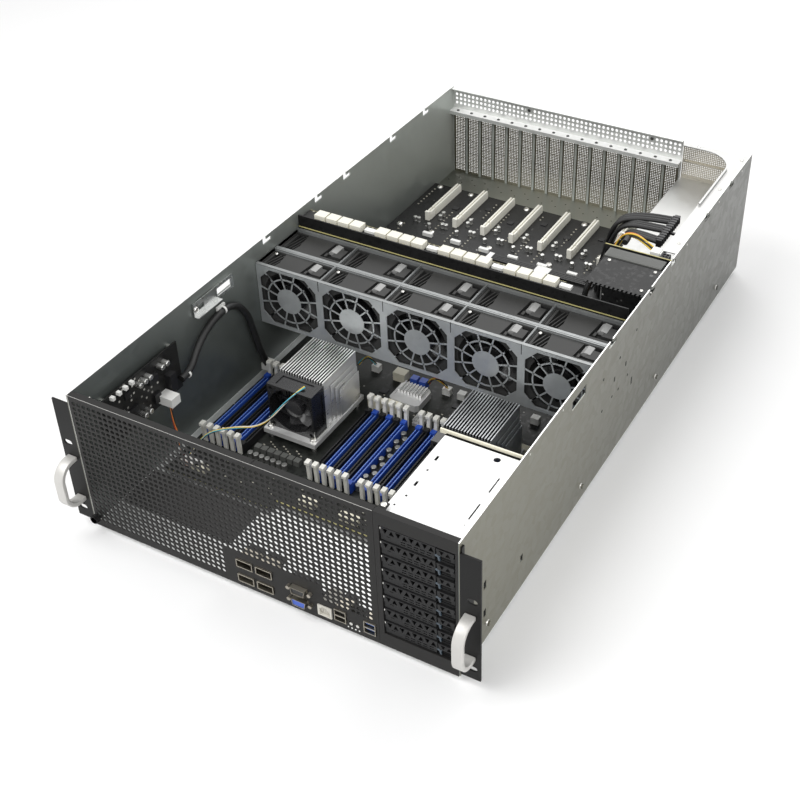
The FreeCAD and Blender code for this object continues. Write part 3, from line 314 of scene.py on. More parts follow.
looks = {
    "chassisSheet": wallMaterial(),
    "brightSheet": zincMaterial("brightSheet", (0.86, 0.86, 0.85), 0.32, 0.04),
    "cageTop": zincMaterial("cageTop", (0.90, 0.90, 0.89), 0.5, 0.02, metallic=0.2),
    "fanWallSheet": zincMaterial("fanWallSheet", (0.56, 0.585, 0.59), 0.36, 0.06, 180.0, metallic=0.6),
    "railSheet": zincMaterial("railSheet", (0.72, 0.73, 0.72), 0.3, 0.05),
    "rearSheet": zincMaterial("rearSheet", (0.72, 0.73, 0.71), 0.4, 0.05, metallic=0.6),
    "coverSheet": zincMaterial("coverSheet", (0.22, 0.205, 0.16), 0.36, 0.2, 60.0),
    "shelfSheet": zincMaterial("shelfSheet", (0.31, 0.32, 0.30), 0.36, 0.06),
    "supplyPlate": zincMaterial("supplyPlate", (0.44, 0.44, 0.43), 0.4, 0.05, metallic=0.8),
    "supplySheet": zincMaterial("supplySheet", (0.50, 0.50, 0.49), 0.42, 0.04, metallic=0.7),
    "fanRailTop": zincMaterial("fanRailTop", (0.27, 0.28, 0.28), 0.4, 0.06, metallic=0.5),
    "earCoat": grainMaterial("earCoat", (0.0075, 0.0075, 0.0075), 0.5, variation=0.12, fine=1800.0, height=0.2, specular=0.2),
    "moduleDark": grainMaterial("moduleDark", (0.010, 0.010, 0.010), 0.6, variation=0.2, specular=0.15),
    "capPale": grainMaterial("capPale", (0.30, 0.30, 0.295), 0.35, variation=0.1, fine=1500.0),
    "slotCream": grainMaterial("slotCream", (0.93, 0.91, 0.82), 0.4, variation=0.05, fine=1400.0),
    "plugCream": grainMaterial("plugCream", (0.80, 0.78, 0.68), 0.4, variation=0.05, fine=1400.0),
    "boardTin": grainMaterial("boardTin", (0.26, 0.26, 0.25), 0.36, metallic=0.8, variation=0.1),
    "webSheet": zincMaterial("webSheet", (0.43, 0.45, 0.42), 0.4, 0.06, metallic=0.5),
    # painted sheen: black fan plastic a little lighter than the fan frames' plastic, for the sheen on the CPU fan
    # blades
    "fanBladeSheen": grainMaterial("fanBladeSheen", (0.035, 0.035, 0.037), 0.28, variation=0.15, fine=900.0, height=0.05, specular=0.6),
    "finShadeInner": zincMaterial("finShadeInner", (0.085, 0.087, 0.088), 0.5, 0.08, 90.0, metallic=0.5),
    "blackCoat": grainMaterial("blackCoat", (0.016, 0.0155, 0.015), 0.5, variation=0.12, fine=1800.0, height=0.2, specular=0.22),
    "handleSilver": grainMaterial("handleSilver", (0.60, 0.59, 0.565), 0.45, metallic=0.35, variation=0.03, fine=2500.0, height=0.05),
    "bayPlastic": grainMaterial("bayPlastic", (0.013, 0.013, 0.0135), 0.45, variation=0.1, fine=2200.0, height=0.12, specular=0.25),
    "bayDark": grainMaterial("bayDark", (0.002, 0.002, 0.002), 0.6, variation=0.1, specular=0.1),
    "modulePlastic": grainMaterial("modulePlastic", (0.040, 0.040, 0.039), 0.5, variation=0.25, broad=22.0, fine=1500.0, height=0.12, specular=0.25),
    "moduleCap": grainMaterial("moduleCap", (0.15, 0.15, 0.148), 0.4, variation=0.15, fine=1500.0, specular=0.35),
    "fanPlastic": grainMaterial("fanPlastic", (0.013, 0.013, 0.014), 0.28, variation=0.15, fine=900.0, height=0.05),
    "slotBlack": grainMaterial("slotBlack", (0.012, 0.012, 0.013), 0.38, variation=0.15, fine=1500.0),
    "slotBlue": grainMaterial("slotBlue", (0.020, 0.075, 0.42), 0.36, variation=0.12, fine=1500.0),
    "latchWhite": grainMaterial("latchWhite", (0.80, 0.79, 0.73), 0.45, variation=0.05, fine=1500.0),
    "creamPlastic": grainMaterial("creamPlastic", (0.83, 0.79, 0.64), 0.42, variation=0.06, fine=1400.0),
    "whitePlastic": grainMaterial("whitePlastic", (0.88, 0.88, 0.85), 0.4, variation=0.04, fine=1400.0),
    "finMetal": zincMaterial("finMetal", (0.86, 0.86, 0.85), 0.34, 0.08, 90.0, metallic=0.75),
    "finShadedCopy": zincMaterial("finShadedCopy", (0.44, 0.45, 0.46), 0.38, 0.08, 90.0, metallic=0.75),
    "plateMetal": zincMaterial("plateMetal", (0.80, 0.80, 0.79), 0.36, 0.05, metallic=0.5),
    "screwSteel": grainMaterial("screwSteel", (0.72, 0.71, 0.68), 0.28, metallic=1.0, variation=0.1, fine=1500.0),
    "knobBlack": grainMaterial("knobBlack", (0.006, 0.006, 0.006), 0.35, variation=0.1),
    "chokeGrey": grainMaterial("chokeGrey", (0.11, 0.113, 0.105), 0.5, variation=0.12, fine=1500.0),
    "canMetal": grainMaterial("canMetal", (0.62, 0.62, 0.60), 0.3, metallic=0.9, variation=0.08),
    "chipBlack": grainMaterial("chipBlack", (0.010, 0.010, 0.011), 0.45, variation=0.12),
    "portMetal": grainMaterial("portMetal", (0.42, 0.39, 0.33), 0.34, metallic=1.0, variation=0.12),
    "vgaBlue": grainMaterial("vgaBlue", (0.05, 0.12, 0.55), 0.4, variation=0.06),
    "usbBlue": grainMaterial("usbBlue", (0.03, 0.09, 0.30), 0.4, variation=0.06),
    "jackShell": grainMaterial("jackShell", (0.60, 0.58, 0.52), 0.4, variation=0.06),
    "trayRail": grainMaterial("trayRail", (0.05, 0.05, 0.05), 0.4, variation=0.1),
    "driveMetal": zincMaterial("driveMetal", (0.55, 0.55, 0.55), 0.35, 0.05),
    "edgeHighlight": grainMaterial("edgeHighlight", (0.90, 0.90, 0.88), 0.35, metallic=0.3, variation=0.03),
    "slotHighlight": grainMaterial("slotHighlight", (0.22, 0.36, 0.72), 0.4, variation=0.05),
    "partPale": grainMaterial("partPale", (0.45, 0.43, 0.36), 0.5, variation=0.3, fine=300.0),
    "screwDark": grainMaterial("screwDark", (0.10, 0.10, 0.10), 0.35, metallic=0.8, variation=0.1),
    "ventSheet": zincMaterial("ventSheet", (0.52, 0.49, 0.42), 0.4, 0.08, metallic=0.7),
    "boardEdge": grainMaterial("boardEdge", (0.52, 0.47, 0.20), 0.5, variation=0.1),
    "goldPin": grainMaterial("goldPin", (0.75, 0.62, 0.30), 0.3, metallic=1.0),
    "lightPipe": grainMaterial("lightPipe", (0.045, 0.065, 0.085), 0.25, variation=0.1),
    "sheathBlack": grainMaterial("sheathBlack", (0.012, 0.012, 0.012), 0.5, variation=0.2, fine=700.0, height=0.3),
    "wireBlue": grainMaterial("wireBlue", (0.08, 0.42, 0.55), 0.42),
    "wireYellow": grainMaterial("wireYellow", (0.80, 0.56, 0.07), 0.42),
    "wireOrange": grainMaterial("wireOrange", (0.72, 0.22, 0.04), 0.42),
    "wireRed": grainMaterial("wireRed", (0.50, 0.03, 0.02), 0.42),
    "wireWhite": grainMaterial("wireWhite", (0.75, 0.72, 0.66), 0.42),
    "floorDarkPatch": grainMaterial("floorDarkPatch", (0.035, 0.034, 0.033), 0.5, variation=0.1),
    "mainBoard": boardMaterial("mainBoard", (0.010, 0.011, 0.010), (0.022, 0.024, 0.021), (0.42, 0.41, 0.38), 240.0, 230.0, 0.10),
    "cardBoard": boardMaterial("cardBoard", (0.012, 0.012, 0.012), (0.020, 0.020, 0.020), (0.55, 0.54, 0.52), 200.0, 210.0, 0.07),
    "riserFace": boardMaterial("riserFace", (0.006, 0.006, 0.006), (0.010, 0.010, 0.010), (0.10, 0.10, 0.10), 200.0, 120.0, 0.01, 0.25),
    "sideCard": boardMaterial("sideCard", (0.008, 0.008, 0.008), (0.018, 0.018, 0.017), (0.60, 0.59, 0.55), 230.0, 190.0, 0.22),
}
print("materials made", len(looks))


# Geometry Nodes: a grid of copies, and a ring of copies.

def newTree(name, inputs):
    tree = bpy.data.node_groups.new(name, "GeometryNodeTree")
    tree.interface.new_socket("Geometry", in_out="INPUT", socket_type="NodeSocketGeometry")
    for label, kind in inputs:
        tree.interface.new_socket(label, in_out="INPUT", socket_type=kind)
    tree.interface.new_socket("Geometry", in_out="OUTPUT", socket_type="NodeSocketGeometry")
    return tree, tree.nodes.new("NodeGroupInput"), tree.nodes.new("NodeGroupOutput")


def vectorMath(tree, operation, a, b=None, scale=None):
    node = addNode(tree, "ShaderNodeVectorMath", operation=operation)
    feed(tree, node.inputs[0], a)
    if b is not None:
        feed(tree, node.inputs[1], b)
    if scale is not None:
        feed(tree, node.inputs["Scale"], scale)
    return node.outputs[0]


def endTree(tree, start, end, points, rotation=None):
    info = addNode(tree, "GeometryNodeObjectInfo")
    info.inputs["As Instance"].default_value = True
    tree.links.new(start.outputs["Tile"], info.inputs["Object"])
    copies = addNode(tree, "GeometryNodeInstanceOnPoints")
    tree.links.new(points, copies.inputs["Points"])
    tree.links.new(info.outputs["Geometry"], copies.inputs["Instance"])
    if rotation is not None:
        tree.links.new(rotation, copies.inputs["Rotation"])
    real = addNode(tree, "GeometryNodeRealizeInstances")
    tree.links.new(copies.outputs["Instances"], real.inputs["Geometry"])
    merged = addNode(tree, "GeometryNodeMergeByDistance")
    tree.links.new(real.outputs["Geometry"], merged.inputs["Geometry"])
    tree.links.new(start.outputs["Merge Distance"], merged.inputs["Distance"])
    finish = addNode(tree, "GeometryNodeSetMaterial")
    tree.links.new(merged.outputs["Geometry"], finish.inputs["Geometry"])
    tree.links.new(start.outputs["Material"], finish.inputs["Material"])
    tree.links.new(finish.outputs["Geometry"], end.inputs[0])


def buildGridTree():
    tree, start, end = newTree("gridOfCopies", [
        ("Tile", "NodeSocketObject"), ("Columns", "NodeSocketInt"), ("Rows", "NodeSocketInt"), ("Start", "NodeSocketVector"),
        ("Column Step", "NodeSocketVector"), ("Row Step", "NodeSocketVector"), ("Stagger", "NodeSocketVector"),
        ("Merge Distance", "NodeSocketFloat"), ("Material", "NodeSocketMaterial")])
    index = addNode(tree, "GeometryNodeInputIndex").outputs[0]
    count = mathNode(tree, "MULTIPLY", start.outputs["Columns"], start.outputs["Rows"])
    row = mathNode(tree, "FLOOR", mathNode(tree, "DIVIDE", mathNode(tree, "ADD", index, 0.5), start.outputs["Columns"]))
    column = mathNode(tree, "SUBTRACT", index, mathNode(tree, "MULTIPLY", row, start.outputs["Columns"]))
    odd = mathNode(tree, "MODULO", row, 2.0)
    where = vectorMath(tree, "ADD", start.outputs["Start"], vectorMath(tree, "SCALE", start.outputs["Column Step"], scale=column))
    where = vectorMath(tree, "ADD", where, vectorMath(tree, "SCALE", start.outputs["Row Step"], scale=row))
    where = vectorMath(tree, "ADD", where, vectorMath(tree, "SCALE", start.outputs["Stagger"], scale=odd))
    points = addNode(tree, "GeometryNodePoints")
    tree.links.new(count, points.inputs["Count"])
    tree.links.new(where, points.inputs["Position"])
    endTree(tree, start, end, points.outputs[0])
    return tree


def buildRingTree():
    tree, start, end = newTree("ringOfCopies", [
        ("Tile", "NodeSocketObject"), ("Count", "NodeSocketInt"), ("Centre", "NodeSocketVector"), ("Phase", "NodeSocketFloat"),
        ("Merge Distance", "NodeSocketFloat"), ("Material", "NodeSocketMaterial")])
    index = addNode(tree, "GeometryNodeInputIndex").outputs[0]
    turn = mathNode(tree, "DIVIDE", mathNode(tree, "MULTIPLY", index, 2 * math.pi), start.outputs["Count"])
    turn = mathNode(tree, "ADD", turn, start.outputs["Phase"])
    points = addNode(tree, "GeometryNodePoints")
    tree.links.new(start.outputs["Count"], points.inputs["Count"])
    tree.links.new(start.outputs["Centre"], points.inputs["Position"])
    keep = addNode(tree, "GeometryNodeStoreNamedAttribute", data_type="FLOAT", domain="POINT")
    keep.inputs["Name"].default_value = "turn"
    tree.links.new(points.outputs[0], keep.inputs["Geometry"])
    tree.links.new(turn, keep.inputs["Value"])
    read = addNode(tree, "GeometryNodeInputNamedAttribute", data_type="FLOAT")
    read.inputs["Name"].default_value = "turn"
    angles = addNode(tree, "ShaderNodeCombineXYZ")
    tree.links.new(read.outputs[0], angles.inputs["Y"])
    endTree(tree, start, end, keep.outputs[0], angles.outputs[0])
    return tree


gridTree = buildGridTree()
ringTree = buildRingTree()


def repeated(name, tree, holderMesh=None, **values):
    holder = bpy.data.objects.new(name + "Maker", holderMesh or bpy.data.meshes.new(name + "Maker"))
    scene.collection.objects.link(holder)
    modifier = holder.modifiers.new("copies", "NODES")
    modifier.node_group = tree
    named = {item.name: item.identifier for item in tree.interface.items_tree if item.in_out == "INPUT"}
    for key, value in values.items():
        label = "".join(" " + letter if letter.isupper() else letter for letter in key).strip().title()
        modifier[named[label]] = value
    holder.update_tag()
    evaluated = holder.evaluated_get(bpy.context.evaluated_depsgraph_get())
    mesh = bpy.data.meshes.new_from_object(evaluated)
    holder.modifiers.remove(modifier)
    bpy.data.objects.remove(holder)
    mesh.name = name
    return mesh


# Mesh helpers.

def solidFrom(bm, points, faces):
    verts = [bm.verts.new(point) for point in points]
    for face in faces:
        bm.faces.new([verts[i] for i in face])
    return verts


boxFaces = ((0, 3, 2, 1), (4, 5, 6, 7), (0, 1, 5, 4), (1, 2, 6, 5), (2, 3, 7, 6), (3, 0, 4, 7))


def addBox(bm, x0, x1, d0, d1, z0, z1):
    points = [place(x, d, z) for z in (z0, z1) for x, d in ((x0, d0), (x1, d0), (x1, d1), (x0, d1))]
    return solidFrom(bm, points, boxFaces)


def addPrism(bm, outline, run):
    # the outline's corners in space, pushed along run
    count = len(outline)
    area = Vector()
    for i in range(count):
        area += outline[i].cross(outline[(i + 1) % count])
    ring = list(outline) if area.dot(run) < 0 else list(reversed(outline))
    points = ring + [point + run for point in ring]
    sides = [((i + 1) % count, i, i + count, (i + 1) % count + count) for i in range(count)]
    return solidFrom(bm, points, [tuple(range(count)), tuple(reversed(range(count, 2 * count)))] + sides)


def addFrontPrism(bm, outline, d0, d1):
    return addPrism(bm, [place(x, d0, z) for x, z in outline], step(0, d1 - d0, 0))


def addSidePrism(bm, outline, x0, x1):
    return addPrism(bm, [place(x0, d, z) for d, z in outline], step(x1 - x0, 0, 0))


def addPlanPrism(bm, outline, z0, z1):
    return addPrism(bm, [place(x, d, z0) for x, d in outline], step(0, 0, z1 - z0))


def circle(a, b, radius, sides, phase=0.0):
    return [(a + radius * math.cos(2 * math.pi * (i + phase) / sides), b + radius * math.sin(2 * math.pi * (i + phase) / sides))
            for i in range(sides)]


def softened(bm, width, segments=1):
    edges = [edge for edge in bm.edges if len(edge.link_faces) == 2 and edge.calc_face_angle(0.0) > 0.5]
    bmesh.ops.bevel(bm, geom=edges, offset=width * mm, segments=segments, affect="EDGES", profile=0.5)


def meshFrom(bm, name, smooth=False):
    mesh = bpy.data.meshes.new(name)
    bmesh.ops.recalc_face_normals(bm, faces=bm.faces)
    bm.to_mesh(mesh)
    bm.free()
    if smooth:
        mesh.shade_smooth()
    return mesh


def piece(name, mesh, look, body="chassis", stands=()):
    thing = bpy.data.objects.new(name, mesh)
    scene.collection.objects.link(thing)
    if look:
        mesh.materials.clear()
        mesh.materials.append(looks[look])
    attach(thing, body)
    if stands:
        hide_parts(*stands)
    return thing


def boxPiece(name, boxes, look, body="chassis", bevel=0.0, stands=(), segments=1):
    bm = bmesh.new()
    for item in boxes:
        addBox(bm, *item)
    if bevel:
        softened(bm, bevel, segments)
    return piece(name, meshFrom(bm, name), look, body, stands)


def smoothByAngle(mesh, degrees=35.0):
    mesh.shade_smooth()
    bm = bmesh.new()
    bm.from_mesh(mesh)
    for edge in bm.edges:
        edge.smooth = edge.calc_face_angle(0.0) < math.radians(degrees) if len(edge.link_faces) == 2 else False
    bm.to_mesh(mesh)
    bm.free()
    return mesh


def loose(name, bm):
    thing = bpy.data.objects.new(name, meshFrom(bm, name))
    scene.collection.objects.link(thing)
    return thing


def dropTile(tile):
    bpy.data.objects.remove(tile)


def dress(nodeName, look):
    mesh = cad[nodeName].data
    mesh.materials.clear()
    mesh.materials.append(looks[look])


def copyTree(name, inputs, build):
    tree, start, end = newTree(name, inputs)
    build(tree, start, end)
    return tree


def buildSpots(tree, start, end):
    # one copy on each point of the maker's own mesh
    endTree(tree, start, end, start.outputs["Geometry"])


spotTree = copyTree("copiesOnSpots", [("Tile", "NodeSocketObject"), ("Merge Distance", "NodeSocketFloat"),
                                      ("Material", "NodeSocketMaterial")], buildSpots)
print("geometry trees made")


def spotted(name, tile, spots, look):
    holder = bpy.data.meshes.new(name + "Spots")
    holder.from_pydata([place(*spot) for spot in spots], [], [])
    return repeated(name, spotTree, holder, tile=tile, mergeDistance=0.0, material=looks[look])


def gridded(name, tile, columns, rows, start, columnStep, rowStep, look, stagger=(0, 0, 0), merge=0.0):
    return repeated(name, gridTree, None, tile=tile, columns=columns, rows=rows, start=place(*start),
                    columnStep=step(*columnStep), rowStep=step(*rowStep), stagger=step(*stagger),
                    mergeDistance=merge, material=looks[look])


def ringed(name, tile, count, centre, look, phase=0.0):
    return repeated(name, ringTree, None, tile=tile, count=count, centre=place(*centre), phase=phase,
                    mergeDistance=0.0, material=looks[look])


def carved(mesh, cutters, name):
    # cuts each closed cutter mesh from a closed mesh
    thing = bpy.data.objects.new(name, mesh)
    scene.collection.objects.link(thing)
    helpers = []
    for cutter in cutters:
        helper = bpy.data.objects.new(name + "Cutter", cutter)
        scene.collection.objects.link(helper)
        helpers.append(helper)
        modifier = thing.modifiers.new("cut", "BOOLEAN")
        modifier.operation = "DIFFERENCE"
        modifier.solver = "EXACT"
        modifier.object = helper
    result = bpy.data.meshes.new_from_object(thing.evaluated_get(bpy.context.evaluated_depsgraph_get()))
    result.name = name
    for helper in helpers + [thing]:
        bpy.data.objects.remove(helper)
    return result


def joinedMesh(name, meshes):
    bm = bmesh.new()
    for mesh in meshes:
        bm.from_mesh(mesh)
    joined = bpy.data.meshes.new(name)
    bm.to_mesh(joined)
    bm.free()
    return joined


def byFront(x, z, depth):
    return place(x, depth, z)


def byTop(x, depth, z):
    return place(x, depth, z)


def bySide(depth, z, x):
    return place(x, depth, z)


def addPunched(bm, put, outline, low, high, holes):
    # flat plate with rectangular holes; outline and holes are (a0, a1, b0, b1) in the plate's own directions
    a0, a1, b0, b1 = outline
    holes = [(max(a0, h[0]), min(a1, h[1]), max(b0, h[2]), min(b1, h[3])) for h in holes]
    stepsA = sorted({a0, a1, *(v for h in holes for v in h[:2])})
    stepsB = sorted({b0, b1, *(v for h in holes for v in h[2:])})

    def filled(i, j):
        if not (0 <= i < len(stepsA) - 1 and 0 <= j < len(stepsB) - 1):
            return False
        a = (stepsA[i] + stepsA[i + 1]) / 2
        b = (stepsB[j] + stepsB[j + 1]) / 2
        return not any(h[0] < a < h[1] and h[2] < b < h[3] for h in holes)

    corners = {}

    def corner(i, j, level):
        key = (i, j, level)
        if key not in corners:
            corners[key] = bm.verts.new(put(stepsA[i], stepsB[j], (low, high)[level]))
        return corners[key]

    for i in range(len(stepsA) - 1):
        for j in range(len(stepsB) - 1):
            if not filled(i, j):
                continue
            for level in (0, 1):
                bm.faces.new([corner(i, j, level), corner(i + 1, j, level), corner(i + 1, j + 1, level), corner(i, j + 1, level)])
            for di, dj, ends in ((-1, 0, ((i, j), (i, j + 1))), (1, 0, ((i + 1, j), (i + 1, j + 1))),
                                 (0, -1, ((i, j), (i + 1, j))), (0, 1, ((i, j + 1), (i + 1, j + 1)))):
                if not filled(i + di, j + dj):
                    (p, q), (r, s) = ends
                    bm.faces.new([corner(p, q, 0), corner(r, s, 0), corner(r, s, 1), corner(p, q, 1)])


def addTurned(bm, centre, profile, sides, axis="z", phase=0.0):
    # profile is (radius, height) from the bottom up, closed at both ends
    rings = []
    for radius, height in profile:
        ring = []
        for i in range(sides):
            angle = 2 * math.pi * (i + phase) / sides
            a = radius * math.cos(angle)
            b = radius * math.sin(angle)
            shift = {"z": step(a, b, height), "y": step(a, height, b), "x": step(height, a, b)}[axis]
            ring.append(bm.verts.new(centre + shift))
        rings.append(ring)
    for lower, upper in zip(rings, rings[1:]):
        for i in range(sides):
            bm.faces.new([lower[i], lower[(i + 1) % sides], upper[(i + 1) % sides], upper[i]])
    bm.faces.new(rings[0])
    bm.faces.new(rings[-1])


def holeTile(name, width, height, hole, thickness):
    # rectangle about the origin with a hole of 4n corners, in the plane of the front
    bm = bmesh.new()
    levels = []
    for depth in (0.0, thickness):
        outer = [bm.verts.new(step(sx * width / 2, depth, sz * height / 2)) for sx, sz in ((1, 1), (-1, 1), (-1, -1), (1, -1))]
        inner = [bm.verts.new(step(x, depth, z)) for x, z in hole]
        levels.append((outer, inner))
        share = len(inner) // 4
        for i in range(4):
            arc = [inner[(i * share + k) % len(inner)] for k in range(share + 1)]
            bm.faces.new([outer[i]] + arc + [outer[(i + 1) % 4]])
    for i in range(len(hole)):
        j = (i + 1) % len(hole)
        bm.faces.new([levels[0][1][i], levels[0][1][j], levels[1][1][j], levels[1][1][i]])
    for face in bm.faces:
        middle = face.calc_center_median()
        face.normal_update()
        outward = Vector((0, middle.y - thickness * mm / 2, 0)) if abs(face.normal.y) > 0.5 else -Vector((middle.x, 0, middle.z))
        if face.normal.dot(outward) < 0:
            face.normal_flip()
    return loose(name, bm)


def fieldOf(mesh):
    # closes the open rim between the front and the back of a field of merged tiles
    bm = bmesh.new()
    bm.from_mesh(mesh)
    bmesh.ops.remove_doubles(bm, verts=bm.verts, dist=0.00001)
    bmesh.ops.bridge_loops(bm, edges=[edge for edge in bm.edges if edge.is_boundary])
    bmesh.ops.recalc_face_normals(bm, faces=bm.faces)
    bm.to_mesh(mesh)
    bm.free()
    return mesh


def tube(name, route, width, look, body="chassis", stands=(), sides=8, order=3):
    # one smooth line through the route's control points, made a mesh before its place is used
    curve = bpy.data.curves.new(name, "CURVE")
    curve.dimensions = "3D"
    spline = curve.splines.new("NURBS")
    spline.points.add(len(route) - 1)
    for point, spot in zip(spline.points, route):
        point.co = (*place(*spot), 1.0)
    spline.order_u = order
    spline.use_endpoint_u = True
    spline.resolution_u = 8
    curve.bevel_depth = width * mm / 2
    curve.bevel_resolution = max(0, sides // 4 - 1)
    curve.use_fill_caps = True
    thing = bpy.data.objects.new(name, curve)
    scene.collection.objects.link(thing)
    mesh = bpy.data.meshes.new_from_object(thing.evaluated_get(bpy.context.evaluated_depsgraph_get()))
    bpy.data.objects.remove(thing)
    mesh.name = name
    mesh.shade_smooth()
    return piece(name, mesh, look, body, stands) if look else mesh


def screwHead(name, radius, height, axis="z", cross=True):
    bm = bmesh.new()
    profile = [(radius, 0), (radius, height * 0.35), (radius * 0.86, height * 0.75), (radius * 0.5, height)]
    addTurned(bm, Vector(), profile, 14, "z")
    head = meshFrom(bm, name)
    if cross:
        arms = []
        for long, short in ((0.55, 0.14), (0.14, 0.55)):
            arm = bmesh.new()
            addBox(arm, -radius * long, radius * long, frontDepth - radius * short, frontDepth + radius * short,
                   height * 0.45, height * 1.5)
            arms.append(meshFrom(arm, name + "Cross"))
        head = carved(head, arms, name)
    if axis != "z":
        turn = {"y": Matrix.Rotation(math.radians(90), 4, "X"), "x": Matrix.Rotation(math.radians(90), 4, "Y"),
                "-x": Matrix.Rotation(math.radians(-90), 4, "Y")}[axis]
        head.transform(turn)
    thing = bpy.data.objects.new(name, head)
    scene.collection.objects.link(thing)
    return thing


screwTiles = {"small": screwHead("smallScrew", 2.2, 1.3), "large": screwHead("largeScrew", 3.2, 1.9),
              "card": screwHead("cardScrew", 4.4, 2.6), "front": screwHead("frontScrew", 2.4, 1.2, "y"),
              "right": screwHead("rightScrew", 3.4, 1.6, "x"), "left": screwHead("leftScrew", 3.4, 1.6, "-x"),
              "tiny": screwHead("tinyScrew", 1.5, 0.9, cross=False)}

# The front panel: a straight grid of round holes, a solid field for the ports, and a folded flange.
panel = {"left": -218.8, "right": 132.4, "thickness": 1.2, "pitch": 6.45, "hole": 2.45, "topRow": 165.75, "lastColumn": 123.3,
         "flange": 7.4, "tabBack": 17.0, "split": 1.5, "splitWidth": 0.8}
# each field: first column, last column (counted from the right), lowest row (counted from the top)
panelFields = (("left", 27, 52, 24), ("middle", 9, 26, 18), ("right", 0, 8, 21))
ports = {"cage": (19.5, 10.0), "cages": ((-22.5, 32.5), (0.8, 32.5), (-22.5, 12.0), (0.8, 12.0)), "dsub": (17.0, 8.4),
         "serial": (42.8, 29.8), "video": (42.8, 14.2), "jack": (70.8, 13.4), "jackSize": (16.0, 13.6),
         "usb": ((88.7, 16.3), (122.2, 16.4)), "usbSize": (13.2, 15.4), "buttons": ((100.7, 11.4), (108.1, 11.4)), "gap": 0.3}


def portRects():
    rects = [(centre, ports["cage"]) for centre in ports["cages"]]
    rects += [(ports["serial"], ports["dsub"]), (ports["video"], ports["dsub"]), (ports["jack"], ports["jackSize"])]
    rects += [(centre, ports["usbSize"]) for centre in ports["usb"]]
    rects += [(centre, (4.0, 4.0)) for centre in ports["buttons"]]
    gap = ports["gap"]
    return [(x - w / 2 - gap, x + w / 2 + gap, z - h / 2 - gap, z + h / 2 + gap) for (x, z), (w, h) in rects]


def makeFrontPanel():
    pitch = panel["pitch"]
    tile = holeTile("panelHole", pitch, pitch, circle(0, 0, panel["hole"], 12, 1.5), panel["thickness"])
    meshes = []
    areas = []
    for name, first, last, rows in panelFields:
        low = panel["topRow"] - rows * pitch
        startX = panel["lastColumn"] - last * pitch
        mesh = gridded("field" + name, tile, last - first + 1, rows + 1, (startX, 0, low), (pitch, 0, 0), (0, 0, pitch),
                       "blackCoat", merge=0.00001)
        meshes.append(fieldOf(mesh))
        areas.append((startX - pitch / 2, panel["lastColumn"] - first * pitch + pitch / 2, low - pitch / 2, panel["topRow"] + pitch / 2))
    dropTile(tile)
    bm = bmesh.new()
    addPunched(bm, byFront, (panel["left"], panel["right"], 0, chassis["height"]), 0, panel["thickness"], areas + portRects())
    top = chassis["height"]
    half = panel["splitWidth"] / 2
    for x0, x1 in ((panel["left"], panel["split"] - half), (panel["split"] + half, panel["right"])):
        addBox(bm, x0, x1, panel["thickness"], panel["flange"], top - panel["thickness"], top)
    bmesh.ops.recalc_face_normals(bm, faces=bm.faces)
    meshes.append(meshFrom(bm, "panelPlate"))
    piece("frontPanel", joinedMesh("frontPanel", meshes), "blackCoat", stands=("front_panel",))
    # painted highlight: pale strips along the panel's top fold and down its left edge
    boxPiece("flangeEdge", [(panel["left"], panel["right"], -0.02, 0.35, top - 0.55, top - 0.01),
                            (panel["left"] - 0.02, panel["left"] + 0.4, -0.02, 0.35, 0.3, top - 0.6)], "handleSilver")
    knob = bmesh.new()
    outline = []
    for i in range(24):
        for radius, part in ((4.8, 0.0), (4.35, 0.5)):
            angle = 2 * math.pi * (i + part) / 24
            outline.append((-213.0 + radius * math.cos(angle), 14.0 + radius * math.sin(angle)))
    addFrontPrism(knob, outline, -8.0, -2.6)
    addTurned(knob, place(-213.0, 0, 14.0), [(3.4, -2.6), (3.4, 0.0)], 20, "y")
    addTurned(knob, place(-213.0, 0, 14.0), [(4.2, -8.0), (3.6, -8.0)], 20, "y")
    piece("panelKnob", meshFrom(knob, "panelKnob"), "knobBlack")


def makeBayFrame():
    bm = bmesh.new()
    left = panel["right"] + 0.3
    addPunched(bm, byFront, (left, chassis["inner"], 0, chassis["height"]), 0, 1.2, [(138.3, 215.7, 17.4, 159.6)])
    addBox(bm, left, chassis["inner"], 1.2, 6.4, chassis["height"] - 1.2, chassis["height"])
    addBox(bm, left, 141.0, 6.4, panel["tabBack"], 171.4, 172.6)
    addBox(bm, 137.3, 138.25, 1.2, 16.8, 15.6, 161.0)
    addBox(bm, 138.25, 215.75, 1.2, 16.8, 16.2, 17.35)
    addBox(bm, 215.75, 216.7, 1.2, 16.8, 15.6, 161.0)
    addBox(bm, 138.25, 215.75, 1.2, 16.8, 159.65, 161.0)
    bmesh.ops.recalc_face_normals(bm, faces=bm.faces)
    piece("bayFrame", meshFrom(bm, "bayFrame"), "blackCoat", stands=("front_panel",))
    # painted highlight: a pale strip along the bay frame's top fold
    boxPiece("bayFrameEdge", [(left, chassis["inner"], 0.02, 0.5, 173.9, 174.48)], "handleSilver")
    piece("bayScrew", spotted("bayScrew", screwTiles["large"], [(136.8, 12.8, 172.6)], "screwSteel"), "screwSteel")


makeFrontPanel()
makeBayFrame()
print("front panel made")


# The ports behind the solid field.

